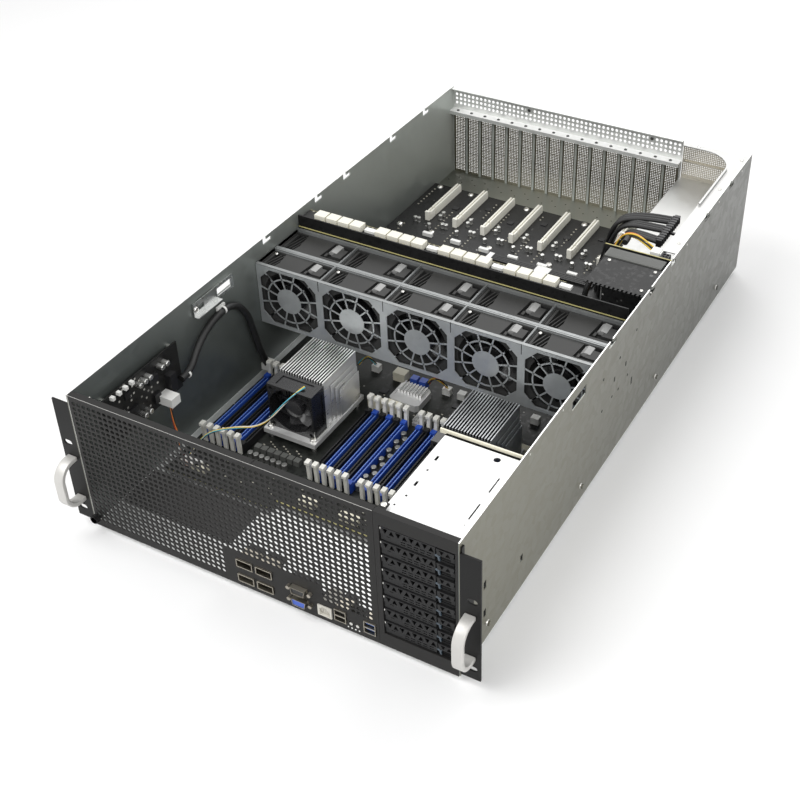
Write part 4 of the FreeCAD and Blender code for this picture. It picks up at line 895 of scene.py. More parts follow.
def makePorts():
    metal = bmesh.new()
    plastic = bmesh.new()
    w, h = ports["cage"]
    for x, z in ports["cages"]:
        outline = (x - w / 2, x + w / 2, z - h / 2, z + h / 2)
        addPunched(metal, byFront, outline, -1.4, 18.0, [(x - w / 2 + 0.9, x + w / 2 - 0.9, z - h / 2 + 0.9, z + h / 2 - 0.9)])
        addBox(plastic, x - w / 2 + 0.9, x + w / 2 - 0.9, 17.0, 24.0, z - h / 2 + 0.9, z + h / 2 - 0.9)
        # spring fingers round the mouth
        for k in range(6):
            fx = x - w / 2 + 1.6 + k * 2.9
            addBox(metal, fx, fx + 1.7, -1.38, 3.0, z + h / 2, z + h / 2 + 0.35)
            addBox(metal, fx, fx + 1.7, -1.38, 3.0, z - h / 2 - 0.35, z - h / 2)
    for x, z in (ports["serial"], ports["video"]):
        addFrontPrism(metal, [(x - 15, z - 5.8), (x + 15, z - 5.8), (x + 15, z + 5.8), (x - 15, z + 5.8)], 1.3, 2.7)
        outer = [(x - 8.5, z + 4.2), (x + 8.5, z + 4.2), (x + 6.9, z - 4.2), (x - 6.9, z - 4.2)]
        inner = [(x - 7.9, z + 3.7), (x + 7.9, z + 3.7), (x + 6.5, z - 3.7), (x - 6.5, z - 3.7)]
        levels = [[metal.verts.new(place(a, depth, b)) for a, b in ring] for ring, depth in ((outer, -5.4), (outer, 1.3), (inner, -5.4), (inner, 1.3))]
        for i in range(4):
            j = (i + 1) % 4
            metal.faces.new([levels[0][i], levels[0][j], levels[1][j], levels[1][i]])
            metal.faces.new([levels[2][i], levels[3][i], levels[3][j], levels[2][j]])
            metal.faces.new([levels[0][i], levels[2][i], levels[2][j], levels[0][j]])
            metal.faces.new([levels[1][i], levels[1][j], levels[3][j], levels[3][i]])
        for side in (-1, 1):
            addTurned(metal, place(x + side * 12.3, 0, z), [(2.4, 0.0), (2.4, -3.8), (1.4, -3.8)], 6, "y")
    for (x, z), look in ((ports["serial"], "chipBlack"), (ports["video"], "vgaBlue")):
        core = bmesh.new()
        addFrontPrism(core, [(x - 7.7, z + 3.5), (x + 7.7, z + 3.5), (x + 6.3, z - 3.5), (x - 6.3, z - 3.5)], -4.6, 1.2)
        piece("dsubCore" + look, meshFrom(core, "dsubCore"), look)
    addBox(plastic, 27.8, 57.8, 3.0, 16.0, 6.5, 34.0)
    x, z = ports["jack"]
    w, h = ports["jackSize"]
    jack = bmesh.new()
    addPunched(jack, byFront, (x - w / 2, x + w / 2, z - h / 2, z + h / 2), -1.3, 24.0,
               [(x - 5.9, x + 5.9, z - 5.0, z + 3.4), (x - 3.2, x + 3.2, z + 3.4, z + 5.2)])
    bmesh.ops.recalc_face_normals(jack, faces=jack.faces)
    addBox(jack, x - 5.7, x + 5.7, 1.6, 3.0, z - 4.8, z + 3.2)
    for k in range(4):
        addBox(jack, x - 4.6 + 2.6 * k, x - 3.2 + 2.6 * k, 0.8, 1.5, z - 3.4, z + 2.0)
    piece("networkJack", meshFrom(jack, "networkJack"), "jackShell")
    addBox(plastic, x - 5.9, x + 5.9, 14.0, 23.9, z - 5.0, z + 5.0)
    w, h = ports["usbSize"]
    for index, (x, z) in enumerate(ports["usb"]):
        holes = [(x - w / 2 + 0.7, x + w / 2 - 0.7, z - h / 2 + 0.8, z - 0.7), (x - w / 2 + 0.7, x + w / 2 - 0.7, z + 0.7, z + h / 2 - 0.8)]
        addPunched(metal, byFront, (x - w / 2, x + w / 2, z - h / 2, z + h / 2), -1.4, 16.0, holes)
        tongue = bmesh.new()
        for low in (z - 3.2, z + 4.0):
            addBox(tongue, x - 5.0, x + 5.0, 0.6, 15.0, low - 1.0, low + 1.0)
        piece("usbTongue%d" % index, meshFrom(tongue, "usbTongue"), ("chipBlack", "usbBlue")[index])
        addBox(plastic, x - w / 2 + 0.2, x + w / 2 - 0.2, 16.0, 24.0, z - h / 2, z + h / 2)
    bmesh.ops.recalc_face_normals(metal, faces=metal.faces)
    piece("portShells", meshFrom(metal, "portShells"), "portMetal", stands=("motherboard",))
    piece("portBodies", meshFrom(plastic, "portBodies"), "chipBlack")
    lamps = bmesh.new()
    for k in range(4):
        addTurned(lamps, place(97.0 + 4.2 * k, 0, 5.2), [(0.9, -0.15), (0.9, 1.0)], 10, "y")
    piece("statusLamps", meshFrom(lamps, "statusLamps"), "whitePlastic")
    small = bmesh.new()
    addBox(small, -48.0, 131.0, 3.0, 26.0, 4.8, 6.4)
    piece("portBoard", meshFrom(small, "portBoard"), "mainBoard", stands=("motherboard",))


makePorts()


def makeButtons():
    for body in ("power_button", "locate_button"):
        low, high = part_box(body)
        x, z = (low[0] + high[0]) / 2 / mm, (low[2] + high[2]) / 2 / mm
        front, back = low[1] / mm + frontDepth, high[1] / mm + frontDepth
        bm = bmesh.new()
        addTurned(bm, place(x, 0, z), [(1.4, front), (1.9, front + 0.35), (1.9, back)], 20, "y")
        piece(body + "Cap", meshFrom(bm, body + "Cap"), "screwSteel", body, stands=(body,))


makeButtons()
print("ports made")

# The drive trays: a lattice of triangles over two rows of slits, a lever, and the drive behind them.
tray = {"left": 139.1, "width": 75.8, "top": 158.8, "pitch": 17.6, "height": 17.0, "count": 8, "front": 0.4, "back": 9.0,
        "bandRight": 195.6, "cells": 8, "cellLeft": 141.0, "cell": 6.75, "bandLow": 8.2, "bandHigh": 16.4}
leverSize = {"left": 197.0, "right": 214.2, "front": 0.45, "back": 5.1, "low": 1.9, "high": 15.1}


def triangleTile(name, width, height, inset, thickness, up):
    half = width / 2 - inset
    low, high = -height / 2 + 1.1, height / 2 - 1.1
    tip, base = (high, low) if up else (low, high)
    triangle = [(-half, base), (half, base), (0, tip)]
    bm = bmesh.new()
    levels = []
    for depth in (0.0, thickness):
        frameCorners = [bm.verts.new(step(sx * width / 2, depth, sz * (1 if not up else -1) * height / 2)) for sx, sz in ((-1, 1), (1, 1), (0, -1))]
        ends = [bm.verts.new(step(sx * width / 2, depth, (-1 if not up else 1) * height / 2)) for sx in (-1, 1)]
        inner = [bm.verts.new(step(x, depth, z)) for x, z in triangle]
        levels.append(inner)
        bm.faces.new([frameCorners[0], frameCorners[1], inner[1], inner[0]])
        bm.faces.new([frameCorners[1], ends[1], frameCorners[2], inner[2], inner[1]])
        bm.faces.new([frameCorners[0], inner[0], inner[2], frameCorners[2], ends[0]])
    for i in range(3):
        j = (i + 1) % 3
        bm.faces.new([levels[0][i], levels[0][j], levels[1][j], levels[1][i]])
    bmesh.ops.recalc_face_normals(bm, faces=bm.faces)
    return loose(name, bm)


triangleDown = triangleTile("triangleDown", tray["cell"], tray["bandHigh"] - tray["bandLow"], 0.55, 1.3, False)
triangleUp = triangleTile("triangleUp", tray["cell"], tray["bandHigh"] - tray["bandLow"], 0.55, 1.3, True)


def makeTray(number):
    body = "drive_tray_%d" % number
    low = tray["top"] - (number - 1) * tray["pitch"] - tray["height"]
    high = low + tray["height"]
    left, right = tray["left"], tray["left"] + tray["width"]
    bandLow, bandHigh = low + tray["bandLow"], low + tray["bandHigh"]
    mid = (bandLow + bandHigh) / 2
    cells = [gridded("cells", tile, 4, 1, (tray["cellLeft"] + offset * tray["cell"], tray["front"], mid),
                     (2 * tray["cell"], 0, 0), (0, 0, 0), "bayPlastic") for offset, tile in ((0.5, triangleDown), (1.5, triangleUp))]
    meshes = [fieldOf(joinedMesh("lattice", cells))]
    bm = bmesh.new()
    cellRight = tray["cellLeft"] + tray["cells"] * tray["cell"]
    addBox(bm, left + 0.3, tray["cellLeft"], tray["front"], 2.2, bandLow, bandHigh)
    addBox(bm, cellRight, tray["bandRight"], tray["front"], 2.2, bandLow, bandHigh)
    addBox(bm, left + 0.3, tray["bandRight"], tray["front"] + 0.3, 2.0, bandHigh, high - 0.15)
    slits = [(x, x + 4.6, z, z + 1.0) for z in (low + 2.0, low + 4.9) for x in (160.0 + 6.6 * k for k in range(5))]
    slits += [(145.5, 149.5, low + 5.2, low + 5.9)]
    addPunched(bm, byFront, (left + 0.3, tray["bandRight"] - 1.2, low + 0.2, bandLow), 1.5, 2.6, slits)
    addBox(bm, left, left + 2.0, 2.6, tray["back"], low, high)
    addBox(bm, right - 1.6, right, 5.4, tray["back"], low, high)
    addBox(bm, left + 2.0, right - 1.6, tray["back"] - 0.8, tray["back"], low, high)
    addBox(bm, left + 2.0, right - 1.6, 2.6, tray["back"] - 0.8, low, low + 0.8)
    addBox(bm, left + 2.0, right - 1.6, 2.6, tray["back"] - 0.8, high - 0.8, high)
    bmesh.ops.recalc_face_normals(bm, faces=bm.faces)
    meshes.append(meshFrom(bm, "bezel"))
    piece("trayBezel%d" % number, joinedMesh("trayBezel%d" % number, meshes), "bayPlastic", body, stands=(body,))
    dark = bmesh.new()
    addBox(dark, left + 0.6, tray["bandRight"] - 0.4, 2.7, 3.3, low + 0.9, high - 0.9)
    addBox(dark, 197.6, right - 1.8, 5.6, 6.2, low + 0.9, high - 0.9)
    piece("trayShade%d" % number, meshFrom(dark, "trayShade"), "bayDark", body)
    pipe = bmesh.new()
    outline = [(194.6, low + 6.8), (196.4, low + 8.4), (198.8, low + 6.9), (200.6, low + 6.9), (199.2, low + 5.4),
               (200.0, low + 1.0), (198.4, low + 1.0), (197.4, low + 4.8), (195.0, low + 5.6)]
    addFrontPrism(pipe, outline, 0.9, 2.5)
    piece("trayLight%d" % number, meshFrom(pipe, "trayLight"), "lightPipe", body)
    end = bmesh.new()
    addBox(end, left + 0.1, left + 0.9, 0.35, 1.4, low + 13.4, low + 15.8)
    piece("trayLamp%d" % number, meshFrom(end, "trayLamp"), "screwSteel", body)
    runner = bmesh.new()
    driveLeft = left + 3.0
    driveRight = right - 3.0
    for x0, x1 in ((left + 0.1, driveLeft - 0.2), (driveRight + 0.2, right - 0.1)):
        addPunched(runner, bySide, (9.0, 104.0, low, low + 9.0), x0, x1, [(20 + 27 * k, 38 + 27 * k, low + 3.0, low + 6.2) for k in range(3)])
    piece("trayRunner%d" % number, meshFrom(runner, "trayRunner"), "trayRail", body)
    drive = bmesh.new()
    addBox(drive, driveLeft, driveRight, 9.2, 103.8, low + 1.2, low + 14.6)
    softened(drive, 1.4, 2)
    addBox(drive, driveLeft + 5, driveRight - 5, 16, 90, low + 14.6, low + 15.1)
    softened(drive, 0.15)
    piece("drive%d" % number, meshFrom(drive, "drive"), "driveMetal", body)
    makeLever(number, low)


def makeLever(number, low):
    body = "tray_lever_%d" % number
    x0, x1 = leverSize["left"], leverSize["right"]
    z0, z1 = low + leverSize["low"], low + leverSize["high"]
    split = low + 7.6
    bm = bmesh.new()
    outer = [(x0, split), (x1 - 2.2, split), (x1, split + 5.0), (x1, z1), (x0 - 0.8, z1)]
    addFrontPrism(bm, outer, leverSize["front"] + 0.3, 3.0)
    addFrontPrism(bm, [(x0 + 3.4, z0), (x1 - 0.6, z0), (x1 - 0.6, split), (x0 + 3.4, split)], 3.0, leverSize["back"])
    addPlanPrism(bm, [(x0, 3.0), (x1 - 1.8, 3.0), (x1 - 0.4, leverSize["back"]), (x0, leverSize["back"])], split, z1)
    addFrontPrism(bm, [(x1 - 4.4, z0), (x1 - 0.6, z0), (x1 - 0.6, split), (x1 - 4.4, split)], 0.9, 3.0)
    addFrontPrism(bm, [(x0 + 3.4, z0), (x1 - 4.4, z0), (x1 - 4.4, z0 + 1.0), (x0 + 3.4, z0 + 1.0)], 0.9, 3.0)
    cutters = bmesh.new()
    mid = (split + z1) / 2
    for index, x in enumerate((x0 + 4.6, x0 + 11.0)):
        sign = 1 if index == 0 else -1
        tri = [(x - 2.7, mid + sign * 2.5), (x + 2.7, mid + sign * 2.5), (x, mid - sign * 2.6)]
        addFrontPrism(cutters, tri, -1.0, 2.2)
    mesh = carved(meshFrom(bm, "leverBody"), [meshFrom(cutters, "leverCut")], "trayLever%d" % number)
    piece("trayLever%d" % number, mesh, "bayPlastic", body, stands=(body,))
    shade = bmesh.new()
    addFrontPrism(shade, [(x0 + 1.6, split + 0.6), (x1 - 2.8, split + 0.6), (x1 - 0.8, z1 - 0.6), (x0 + 0.6, z1 - 0.6)], 1.9, 2.1)
    addFrontPrism(shade, [(x0 + 3.6, z0 + 1.1), (x1 - 4.6, z0 + 1.1), (x1 - 4.6, split - 0.1), (x0 + 3.6, split - 0.1)], 2.6, 2.95)
    piece("leverShade%d" % number, meshFrom(shade, "leverShade"), "bayDark", body)


for number in range(1, tray["count"] + 1):
    makeTray(number)
dropTile(triangleDown)
dropTile(triangleUp)
print("drive trays made")

# Ears keep their CAD shape; the handles are smooth bent strips.
handle = {"x": 230.65, "width": 11.4, "low": 32.0, "high": 91.5, "reach": 26.5, "strip": 5.0, "corner": 20.0, "turns": 14}


def bentRun(low, high, reach, corner):
    turns = [math.pi / 2 * i / handle["turns"] for i in range(handle["turns"] + 1)]
    lower = [(corner - reach - corner * math.sin(t), low + corner - corner * math.cos(t)) for t in turns]
    return [(0, low)] + lower + [(depth, low + high - z) for depth, z in lower[::-1]] + [(0, high)]


def makeHandles():
    bm = bmesh.new()
    for side in (-1, 1):
        x = side * handle["x"]
        outer = bentRun(handle["low"], handle["high"], handle["reach"], handle["corner"])
        inner = bentRun(handle["low"] + handle["strip"], handle["high"] - handle["strip"], handle["reach"] - handle["strip"],
                        handle["corner"] - handle["strip"])
        rings = [[bm.verts.new(place(x + edge * handle["width"] / 2, depth, z)) for depth, z in run] for run in (outer, inner) for edge in (-1, 1)]
        a, b, c, d = rings
        for i in range(len(outer) - 1):
            bm.faces.new([a[i], a[i + 1], b[i + 1], b[i]])
            bm.faces.new([c[i], d[i], d[i + 1], c[i + 1]])
            bm.faces.new([a[i], c[i], c[i + 1], a[i + 1]])
            bm.faces.new([b[i], b[i + 1], d[i + 1], d[i]])
        for i in (0, len(outer) - 1):
            bm.faces.new([a[i], b[i], d[i], c[i]])
    bmesh.ops.recalc_face_normals(bm, faces=bm.faces)
    softened(bm, 0.9, 3)
    piece("frontHandles", smoothByAngle(meshFrom(bm, "frontHandles"), 32), "handleSilver", stands=("rack_handles",))


ear = {"wide": 21.3, "thickness": 2.0, "low": 5.5, "high": 162.5, "leg": 24.0, "legHigh": 132.0, "tab": 6.5, "tabHigh": 168.0,
       "sheet": 1.6, "slotOut": 12.55, "slotRows": (19.2, 108.1), "slotRadius": 3.4, "slotReach": 1.9}


def makeEars():
    meshes = []
    for side in (-1, 1):
        inner, outer = side * chassis["halfWidth"], side * (chassis["halfWidth"] + ear["wide"])
        plate = bmesh.new()
        addBox(plate, min(inner, outer), max(inner, outer), 0.0, ear["thickness"], ear["low"], ear["high"])
        cut = bmesh.new()
        for z in ear["slotRows"]:
            x = inner + side * ear["slotOut"]
            left = [(x - ear["slotReach"] + a, b) for a, b in circle(0, z, ear["slotRadius"], 24, 0.5) if a < 0]
            right = [(x + ear["slotReach"] + a, b) for a, b in circle(0, z, ear["slotRadius"], 24, 0.5) if a > 0]
            low = [spot for spot in right if spot[1] < z]
            high = [spot for spot in right if spot[1] > z]
            addFrontPrism(cut, low + high + left, -2.0, 4.0)
        meshes.append(carved(meshFrom(plate, "earPlate"), [meshFrom(cut, "earSlots")], "earPlate"))
        leg = bmesh.new()
        near, far = sorted((inner, inner + side * ear["sheet"]))
        addBox(leg, near, far, ear["thickness"], ear["leg"], ear["low"], ear["legHigh"])
        addBox(leg, near, far, ear["thickness"], ear["tab"], ear["legHigh"], ear["tabHigh"])
        meshes.append(meshFrom(leg, "earLeg"))
    piece("rackEars", joinedMesh("rackEars", meshes), "earCoat", stands=("rack_ears",))


makeHandles()
makeEars()
dress("chassis_tray", "chassisSheet")
print("ears and handles made")


# The drive cage behind the bay: a pale box, open at the front, with its own marks along the top.
driveCage = {"left": 136.2, "right": 218.4, "front": 17.0, "lip": 6.6, "back": 127.0, "top": 168.2, "sheet": 1.0}


def makeDriveCage():
    left, right = driveCage["left"], driveCage["right"]
    front, back, top = driveCage["front"], driveCage["back"], driveCage["top"]
    holes = [(144.0, 146.8, 90.6, 98.0), (144.6, 147.0, 74.6, 77.2), (144.2, 147.0, 51.4, 58.6), (144.6, 147.0, 35.6, 38.2),
             (141.2, 143.4, 20.6, 23.0), (209.0, 210.6, 75.0, 96.8), (209.0, 210.6, 35.7, 58.4), (209.3, 210.5, 27.0, 28.4)]
    bm = bmesh.new()
    addPunched(bm, byTop, (left, right, driveCage["lip"], back), top - driveCage["sheet"], top, holes)
    mesh = meshFrom(bm, "cageTopPlate")
    cut = bmesh.new()
    addPlanPrism(cut, circle(196.3, 118.3, 3.6, 16), top - 4, top + 2)
    bm = bmesh.new()
    bm.from_mesh(mesh)
    bmesh.ops.recalc_face_normals(bm, faces=bm.faces)
    bm.to_mesh(mesh)
    bm.free()
    piece("driveCageTop", carved(mesh, [meshFrom(cut, "cageHole")], "driveCageTop"), "cageTop", stands=("drive_cage",))
    bm = bmesh.new()
    sideHoles = [(30 + 24 * k, 42 + 24 * k, 24 + 17.6 * row, 30 + 17.6 * row) for k in range(4) for row in range(8)]
    addPunched(bm, bySide, (front, back, 14.0, top - 1.0), left, left + 1.0, sideHoles)
    addPunched(bm, bySide, (front, back, 14.0, top - 1.0), right - 1.0, right, [])
    addPunched(bm, byTop, (left + 1.0, right - 1.0, front, back), 14.0, 15.0, [])
    bmesh.ops.recalc_face_normals(bm, faces=bm.faces)
    piece("driveCageSides", meshFrom(bm, "driveCageSides"), "supplySheet")
    bm = bmesh.new()
    addBox(bm, 129.0, 218.6, 130.4, 132.0, 166.5, 171.5)
    softened(bm, 0.5, 2)
    piece("driveCageBar", meshFrom(bm, "driveCageBar"), "creamPlastic")
    # painted shade: a dark block fills the gap between the cage top and the bar
    boxPiece("driveCageGap", [(136.4, 218.4, 127.0, 130.4, 164.0, 168.0)], "bayDark")
    boxPiece("driveBackplane", [(137.6, 217.4, 114.0, 115.8, 15.2, 160.0)], "cardBoard")
    sockets = bmesh.new()
    for row in range(8):
        low = 158.8 - row * 17.6 - 17.0
        addBox(sockets, 158.0, 196.0, 104.5, 114.0, low + 4.0, low + 9.0)
    softened(sockets, 0.5)
    piece("driveSockets", meshFrom(sockets, "driveSockets"), "chipBlack")


makeDriveCage()
print("drive cage made")

# The side wall's small features.
notches = (332.0, 442.0, 507.0, 622.0, 711.0)
studs = {"depths": (54.7, 273.1, 491.3, 708.1), "z": 21.5}


def makeWallParts():
    for side, tile in ((1, "right"), (-1, "left")):
        spots = [(side * 220.0, depth, studs["z"]) for depth in studs["depths"]]
        piece("railStuds" + tile, spotted("railStuds" + tile, screwTiles[tile], spots, "screwSteel"), "screwSteel")
    # the marks on the right wall: small dark dots and short dark slots, and small bright dots near the top
    dark = bmesh.new()
    for depth, z in ((364, 133), (392, 91), (348, 91), (321, 90), (319, 134), (366, 89), (410, 141), (128, 42)):
        addTurned(dark, place(220.0, depth, z), [(1.8, -0.6), (1.8, 0.06)], 12, "x")
    for depth, z, tall in ((407, 73, 10), (49, 78, 7), (49, 40, 7), (352, 112, 6), (384, 112, 6)):
        addBox(dark, 219.6, 220.06, depth - 1.5, depth + 1.5, z - tall / 2, z + tall / 2)
    piece("wallMarks", meshFrom(dark, "wallMarks"), "bayDark")
    bright = bmesh.new()
    for depth, z in ((140, 168), (214, 168), (330, 168), (446, 168), (560, 168), (672, 168), (760, 168)):
        addTurned(bright, place(220.0, depth, z), [(1.3, -0.4), (1.3, 0.08)], 10, "x")
    piece("wallDots", meshFrom(bright, "wallDots"), "screwSteel")
    # the latch bracket over the left wall's opening
    bm = bmesh.new()
    addPunched(bm, bySide, (196, 268, 146, 164), -217.4, -216.4, [(238, 262, 150, 160), (204, 214, 152, 158)])
    addBox(bm, -218.7, -217.4, 198, 204, 147, 163)
    addBox(bm, -216.4, -211.0, 196, 240, 146, 147)
    bmesh.ops.recalc_face_normals(bm, faces=bm.faces)
    piece("latchBracket", meshFrom(bm, "latchBracket"), "railSheet")
    spots = [(-216.4, 200.0, 155.0), (-218.8, 26.0, 150.0)]
    piece("bracketScrews", spotted("bracketScrews", screwTiles["right"], spots, "screwSteel"), "screwSteel")
    # a dark patch over the chassis floor in front of the main board
    boxPiece("darkFloor", [(-217.8, -74.0, 42.0, 97.0, 1.25, 2.0)], "floorDarkPatch", bevel=0.15)
    # painted highlight: pale strips along the top edges of both walls, broken at the notches
    edge = bmesh.new()
    for side in (-1, 1):
        marks = [9.0] + [d for notch in notches for d in (notch - 0.2, notch + 7.2)] + [799.0]
        for d0, d1 in zip(marks[::2], marks[1::2]):
            addBox(edge, side * 219.4 - 0.55, side * 219.4 + 0.55, d0, d1, 174.4, 174.495)
    piece("wallTopEdges", meshFrom(edge, "wallTopEdges"), "edgeHighlight")


makeWallParts()
print("wall parts made")

# The fan wall: five spoked windows in one plate, then two rows of lift-out modules.
wall = {"centres": (-175.0, -88.8, -2.6, 83.6, 169.8), "z": 110.3, "front": 313.0, "sheet": 1.0, "low": 69.0, "high": 151.0,
        "left": -217.9, "right": 212.9, "halfWide": 38.6, "halfTall": 36.8, "corner": 14.0, "hub": 16.5, "ring": 29.2,
        "bar": 1.8, "spokes": 12}


def octagon(cx, cz, halfWide, halfTall, corner):
    signs = ((1, -1), (1, 1), (-1, 1), (-1, -1))
    outline = []
    for sx, sz in signs:
        a = (cx + sx * (halfWide - corner), cz + sz * halfTall)
        b = (cx + sx * halfWide, cz + sz * (halfTall - corner))
        outline += [a, b] if sx * sz < 0 else [b, a]
    return outline


def windowTile(name):
    # the plate round one window, with the window cut out
    half = 43.1
    bm = bmesh.new()
    addBox(bm, -half, half, 400.0, 401.0, wall["low"] - wall["z"], wall["high"] - wall["z"])
    plate = meshFrom(bm, name + "Plate")
    cut = bmesh.new()
    addFrontPrism(cut, octagon(0, 0, wall["halfWide"], wall["halfTall"], wall["corner"]), 399.0, 402.0)
    return carved(plate, [meshFrom(cut, name + "Cut")], name)


def annulus(bm, centre, inner, outer, low, high, sides):
    rings = []
    for radius in (inner, outer):
        for depth in (low, high):
            rings.append([bm.verts.new(centre + step(radius * math.cos(2 * math.pi * i / sides), depth,
                                                     radius * math.sin(2 * math.pi * i / sides))) for i in range(sides)])
    a, b, c, d = rings
    for i in range(sides):
        j = (i + 1) % sides
        bm.faces.new([a[i], a[j], b[j], b[i]])
        bm.faces.new([c[i], d[i], d[j], c[j]])
        bm.faces.new([a[i], c[i], c[j], a[j]])
        bm.faces.new([b[i], b[j], d[j], d[i]])


def makeFanWall():
    tile = windowTile("windowPlate")
    meshes = []
    for cx in wall["centres"]:
        copy = tile.copy()
        copy.transform(Matrix.Translation(place(cx, wall["front"], wall["z"])))
        meshes.append(copy)
    spoke = bmesh.new()
    addBox(spoke, wall["hub"] - 0.6, 40.8, frontDepth + 0.15, frontDepth + 0.85, -wall["bar"] / 2, wall["bar"] / 2)
    spokeTile = loose("spoke", spoke)
    for index, cx in enumerate(wall["centres"]):
        meshes.append(ringed("spokes%d" % index, spokeTile, wall["spokes"], (cx, wall["front"], wall["z"]), "fanWallSheet", phase=math.pi / 12))
    dropTile(spokeTile)
    bm = bmesh.new()
    for cx in wall["centres"]:
        centre = place(cx, wall["front"], wall["z"])
        annulus(bm, centre, wall["ring"] - 0.9, wall["ring"] + 0.9, 0.15, 0.85, 48)
        addTurned(bm, centre, [(wall["hub"], 0.1), (wall["hub"], 0.9)], 40, "y")
        for k in range(4):
            # the diagonal spokes run on into the corners
            angle = math.pi / 4 + k * math.pi / 2
            along = Vector((math.cos(angle), 0, math.sin(angle)))
            across = Vector((-math.sin(angle), 0, math.cos(angle))) * wall["bar"] * mm / 2
            start, end = centre + along * 0.033 + step(0, 0.15, 0), centre + along * 0.0445 + step(0, 0.15, 0)
            addPrism(bm, [start - across, end - across, end + across, start + across], step(0, 0.7, 0))
    ends = wall["high"]
    rails = bmesh.new()
    addBox(rails, wall["left"], wall["right"], wall["front"], wall["front"] + 4.2, ends, ends + 0.9)
    addBox(rails, wall["left"], wall["right"], 351.4, 357.7, ends - 1.5, ends)
    addBox(bm, wall["left"], wall["right"], 351.4, 352.4, 70.0, ends - 1.5)
    addBox(rails, wall["left"], wall["right"], 399.2, 400.2, 70.0, ends + 1.2)
    addBox(bm, wall["left"], wall["right"], 314.0, 399.2, wall["low"], wall["low"] + 1.0)
    for i in range(6):
        x = -175.0 - 43.1 + 86.2 * i
        for offset in (-0.9, 0.2):
            x0 = min(max(x + offset, wall["left"]), wall["right"] - 0.7)
            addBox(rails, x0, x0 + 0.7, 317.3, 351.3, 70.0, ends)
            addBox(rails, x0, x0 + 0.7, 357.8, 399.1, 70.0, ends)
    piece("fanWallRails", meshFrom(rails, "fanWallRails"), "fanRailTop")
    seams = [wall["centres"][i] + 43.1 for i in range(4)]
    boxPiece("fanWallSeams", [(x - 0.4, x + 0.4, 312.9, 313.3, 138.5, 151.95) for x in seams], "bayDark")
    meshes.append(meshFrom(bm, "fanWallSheets"))
    piece("fanWall", joinedMesh("fanWall", meshes), "fanWallSheet", stands=("fan_cage",))
    bpy.data.meshes.remove(tile)
    boxPiece("fanRails", [(wall["left"], wall["right"], 400.6, 401.3, 100.0, 152.8), (wall["left"], wall["right"], 353.4, 355.4, ends, ends + 0.35),
                          (wall["left"], wall["right"], 405.2, 406.4, 149.0, 153.4)], "fanRailTop")


module = {"width": 84.6, "top": 148.3, "low": 72.2, "bore": 36.0, "rotor": 35.2, "motor": 16.5, "blades": 7}
moduleRows = (("front", 316.6, 351.1), ("rear", 358.2, 398.8))


def bladeTile(name, depth, inner, outer):
    # one twisted blade with a little camber, about the fan's own line
    bm = bmesh.new()
    around, along = 5, 7
    grid = []
    for i in range(along + 1):
        radius = inner + (outer - inner) * i / along
        twist = math.radians(58 - 30 * i / along)
        half = 0.36 * radius * 0.9 + 2.0
        row = []
        for j in range(around + 1):
            u = -1 + 2 * j / around
            sweep = 0.35 * (i / along) ** 1.5
            angle = u * half * math.cos(twist) / radius + sweep
            lift = u * half * math.sin(twist) * 0.9 + 1.6 * (1 - u * u)
            lift = max(-depth / 2 + 1.0, min(depth / 2 - 1.0, lift))
            row.append((radius * math.cos(angle), lift, radius * math.sin(angle)))
        grid.append(row)
    sheets = []
    for side in (-0.55, 0.55):
        sheets.append([[bm.verts.new(step(x, y + side, z)) for x, y, z in row] for row in grid])
    front, back = sheets
    for i in range(along):
        for j in range(around):
            bm.faces.new([front[i][j], front[i][j + 1], front[i + 1][j + 1], front[i + 1][j]])
            bm.faces.new([back[i][j], back[i + 1][j], back[i + 1][j + 1], back[i][j + 1]])
    rim = [(i, 0) for i in range(along + 1)] + [(along, j) for j in range(1, around + 1)]
    rim += [(i, around) for i in range(along - 1, -1, -1)] + [(0, j) for j in range(around - 1, 0, -1)]
    for (a, b), (c, d) in zip(rim, rim[1:] + rim[:1]):
        bm.faces.new([front[a][b], back[a][b], back[c][d], front[c][d]])
    bmesh.ops.recalc_face_normals(bm, faces=bm.faces)
    return loose(name, bm)


def makeRotor(name, body, centre, depth, hub, radius, blades, tile, look="fanPlastic"):
    bladeMesh = ringed(name + "Blades", tile, blades, centre, look)
    bladeMesh.shade_smooth()
    bm = bmesh.new()
    middle = place(*centre)
    profile = [(hub - 1.5, -depth / 2 + 0.6), (hub - 0.4, -depth / 2 + 1.2), (hub, -depth / 2 + 2.6), (hub, depth / 2 - 1.0)]
    addTurned(bm, middle, profile, 40, "y")
    bmesh.ops.recalc_face_normals(bm, faces=bm.faces)
    hubMesh = meshFrom(bm, name + "Hub")
    mesh = joinedMesh(name, [bladeMesh, hubMesh])
    piece(name, smoothByAngle(mesh, 40), look, body, stands=(body,))


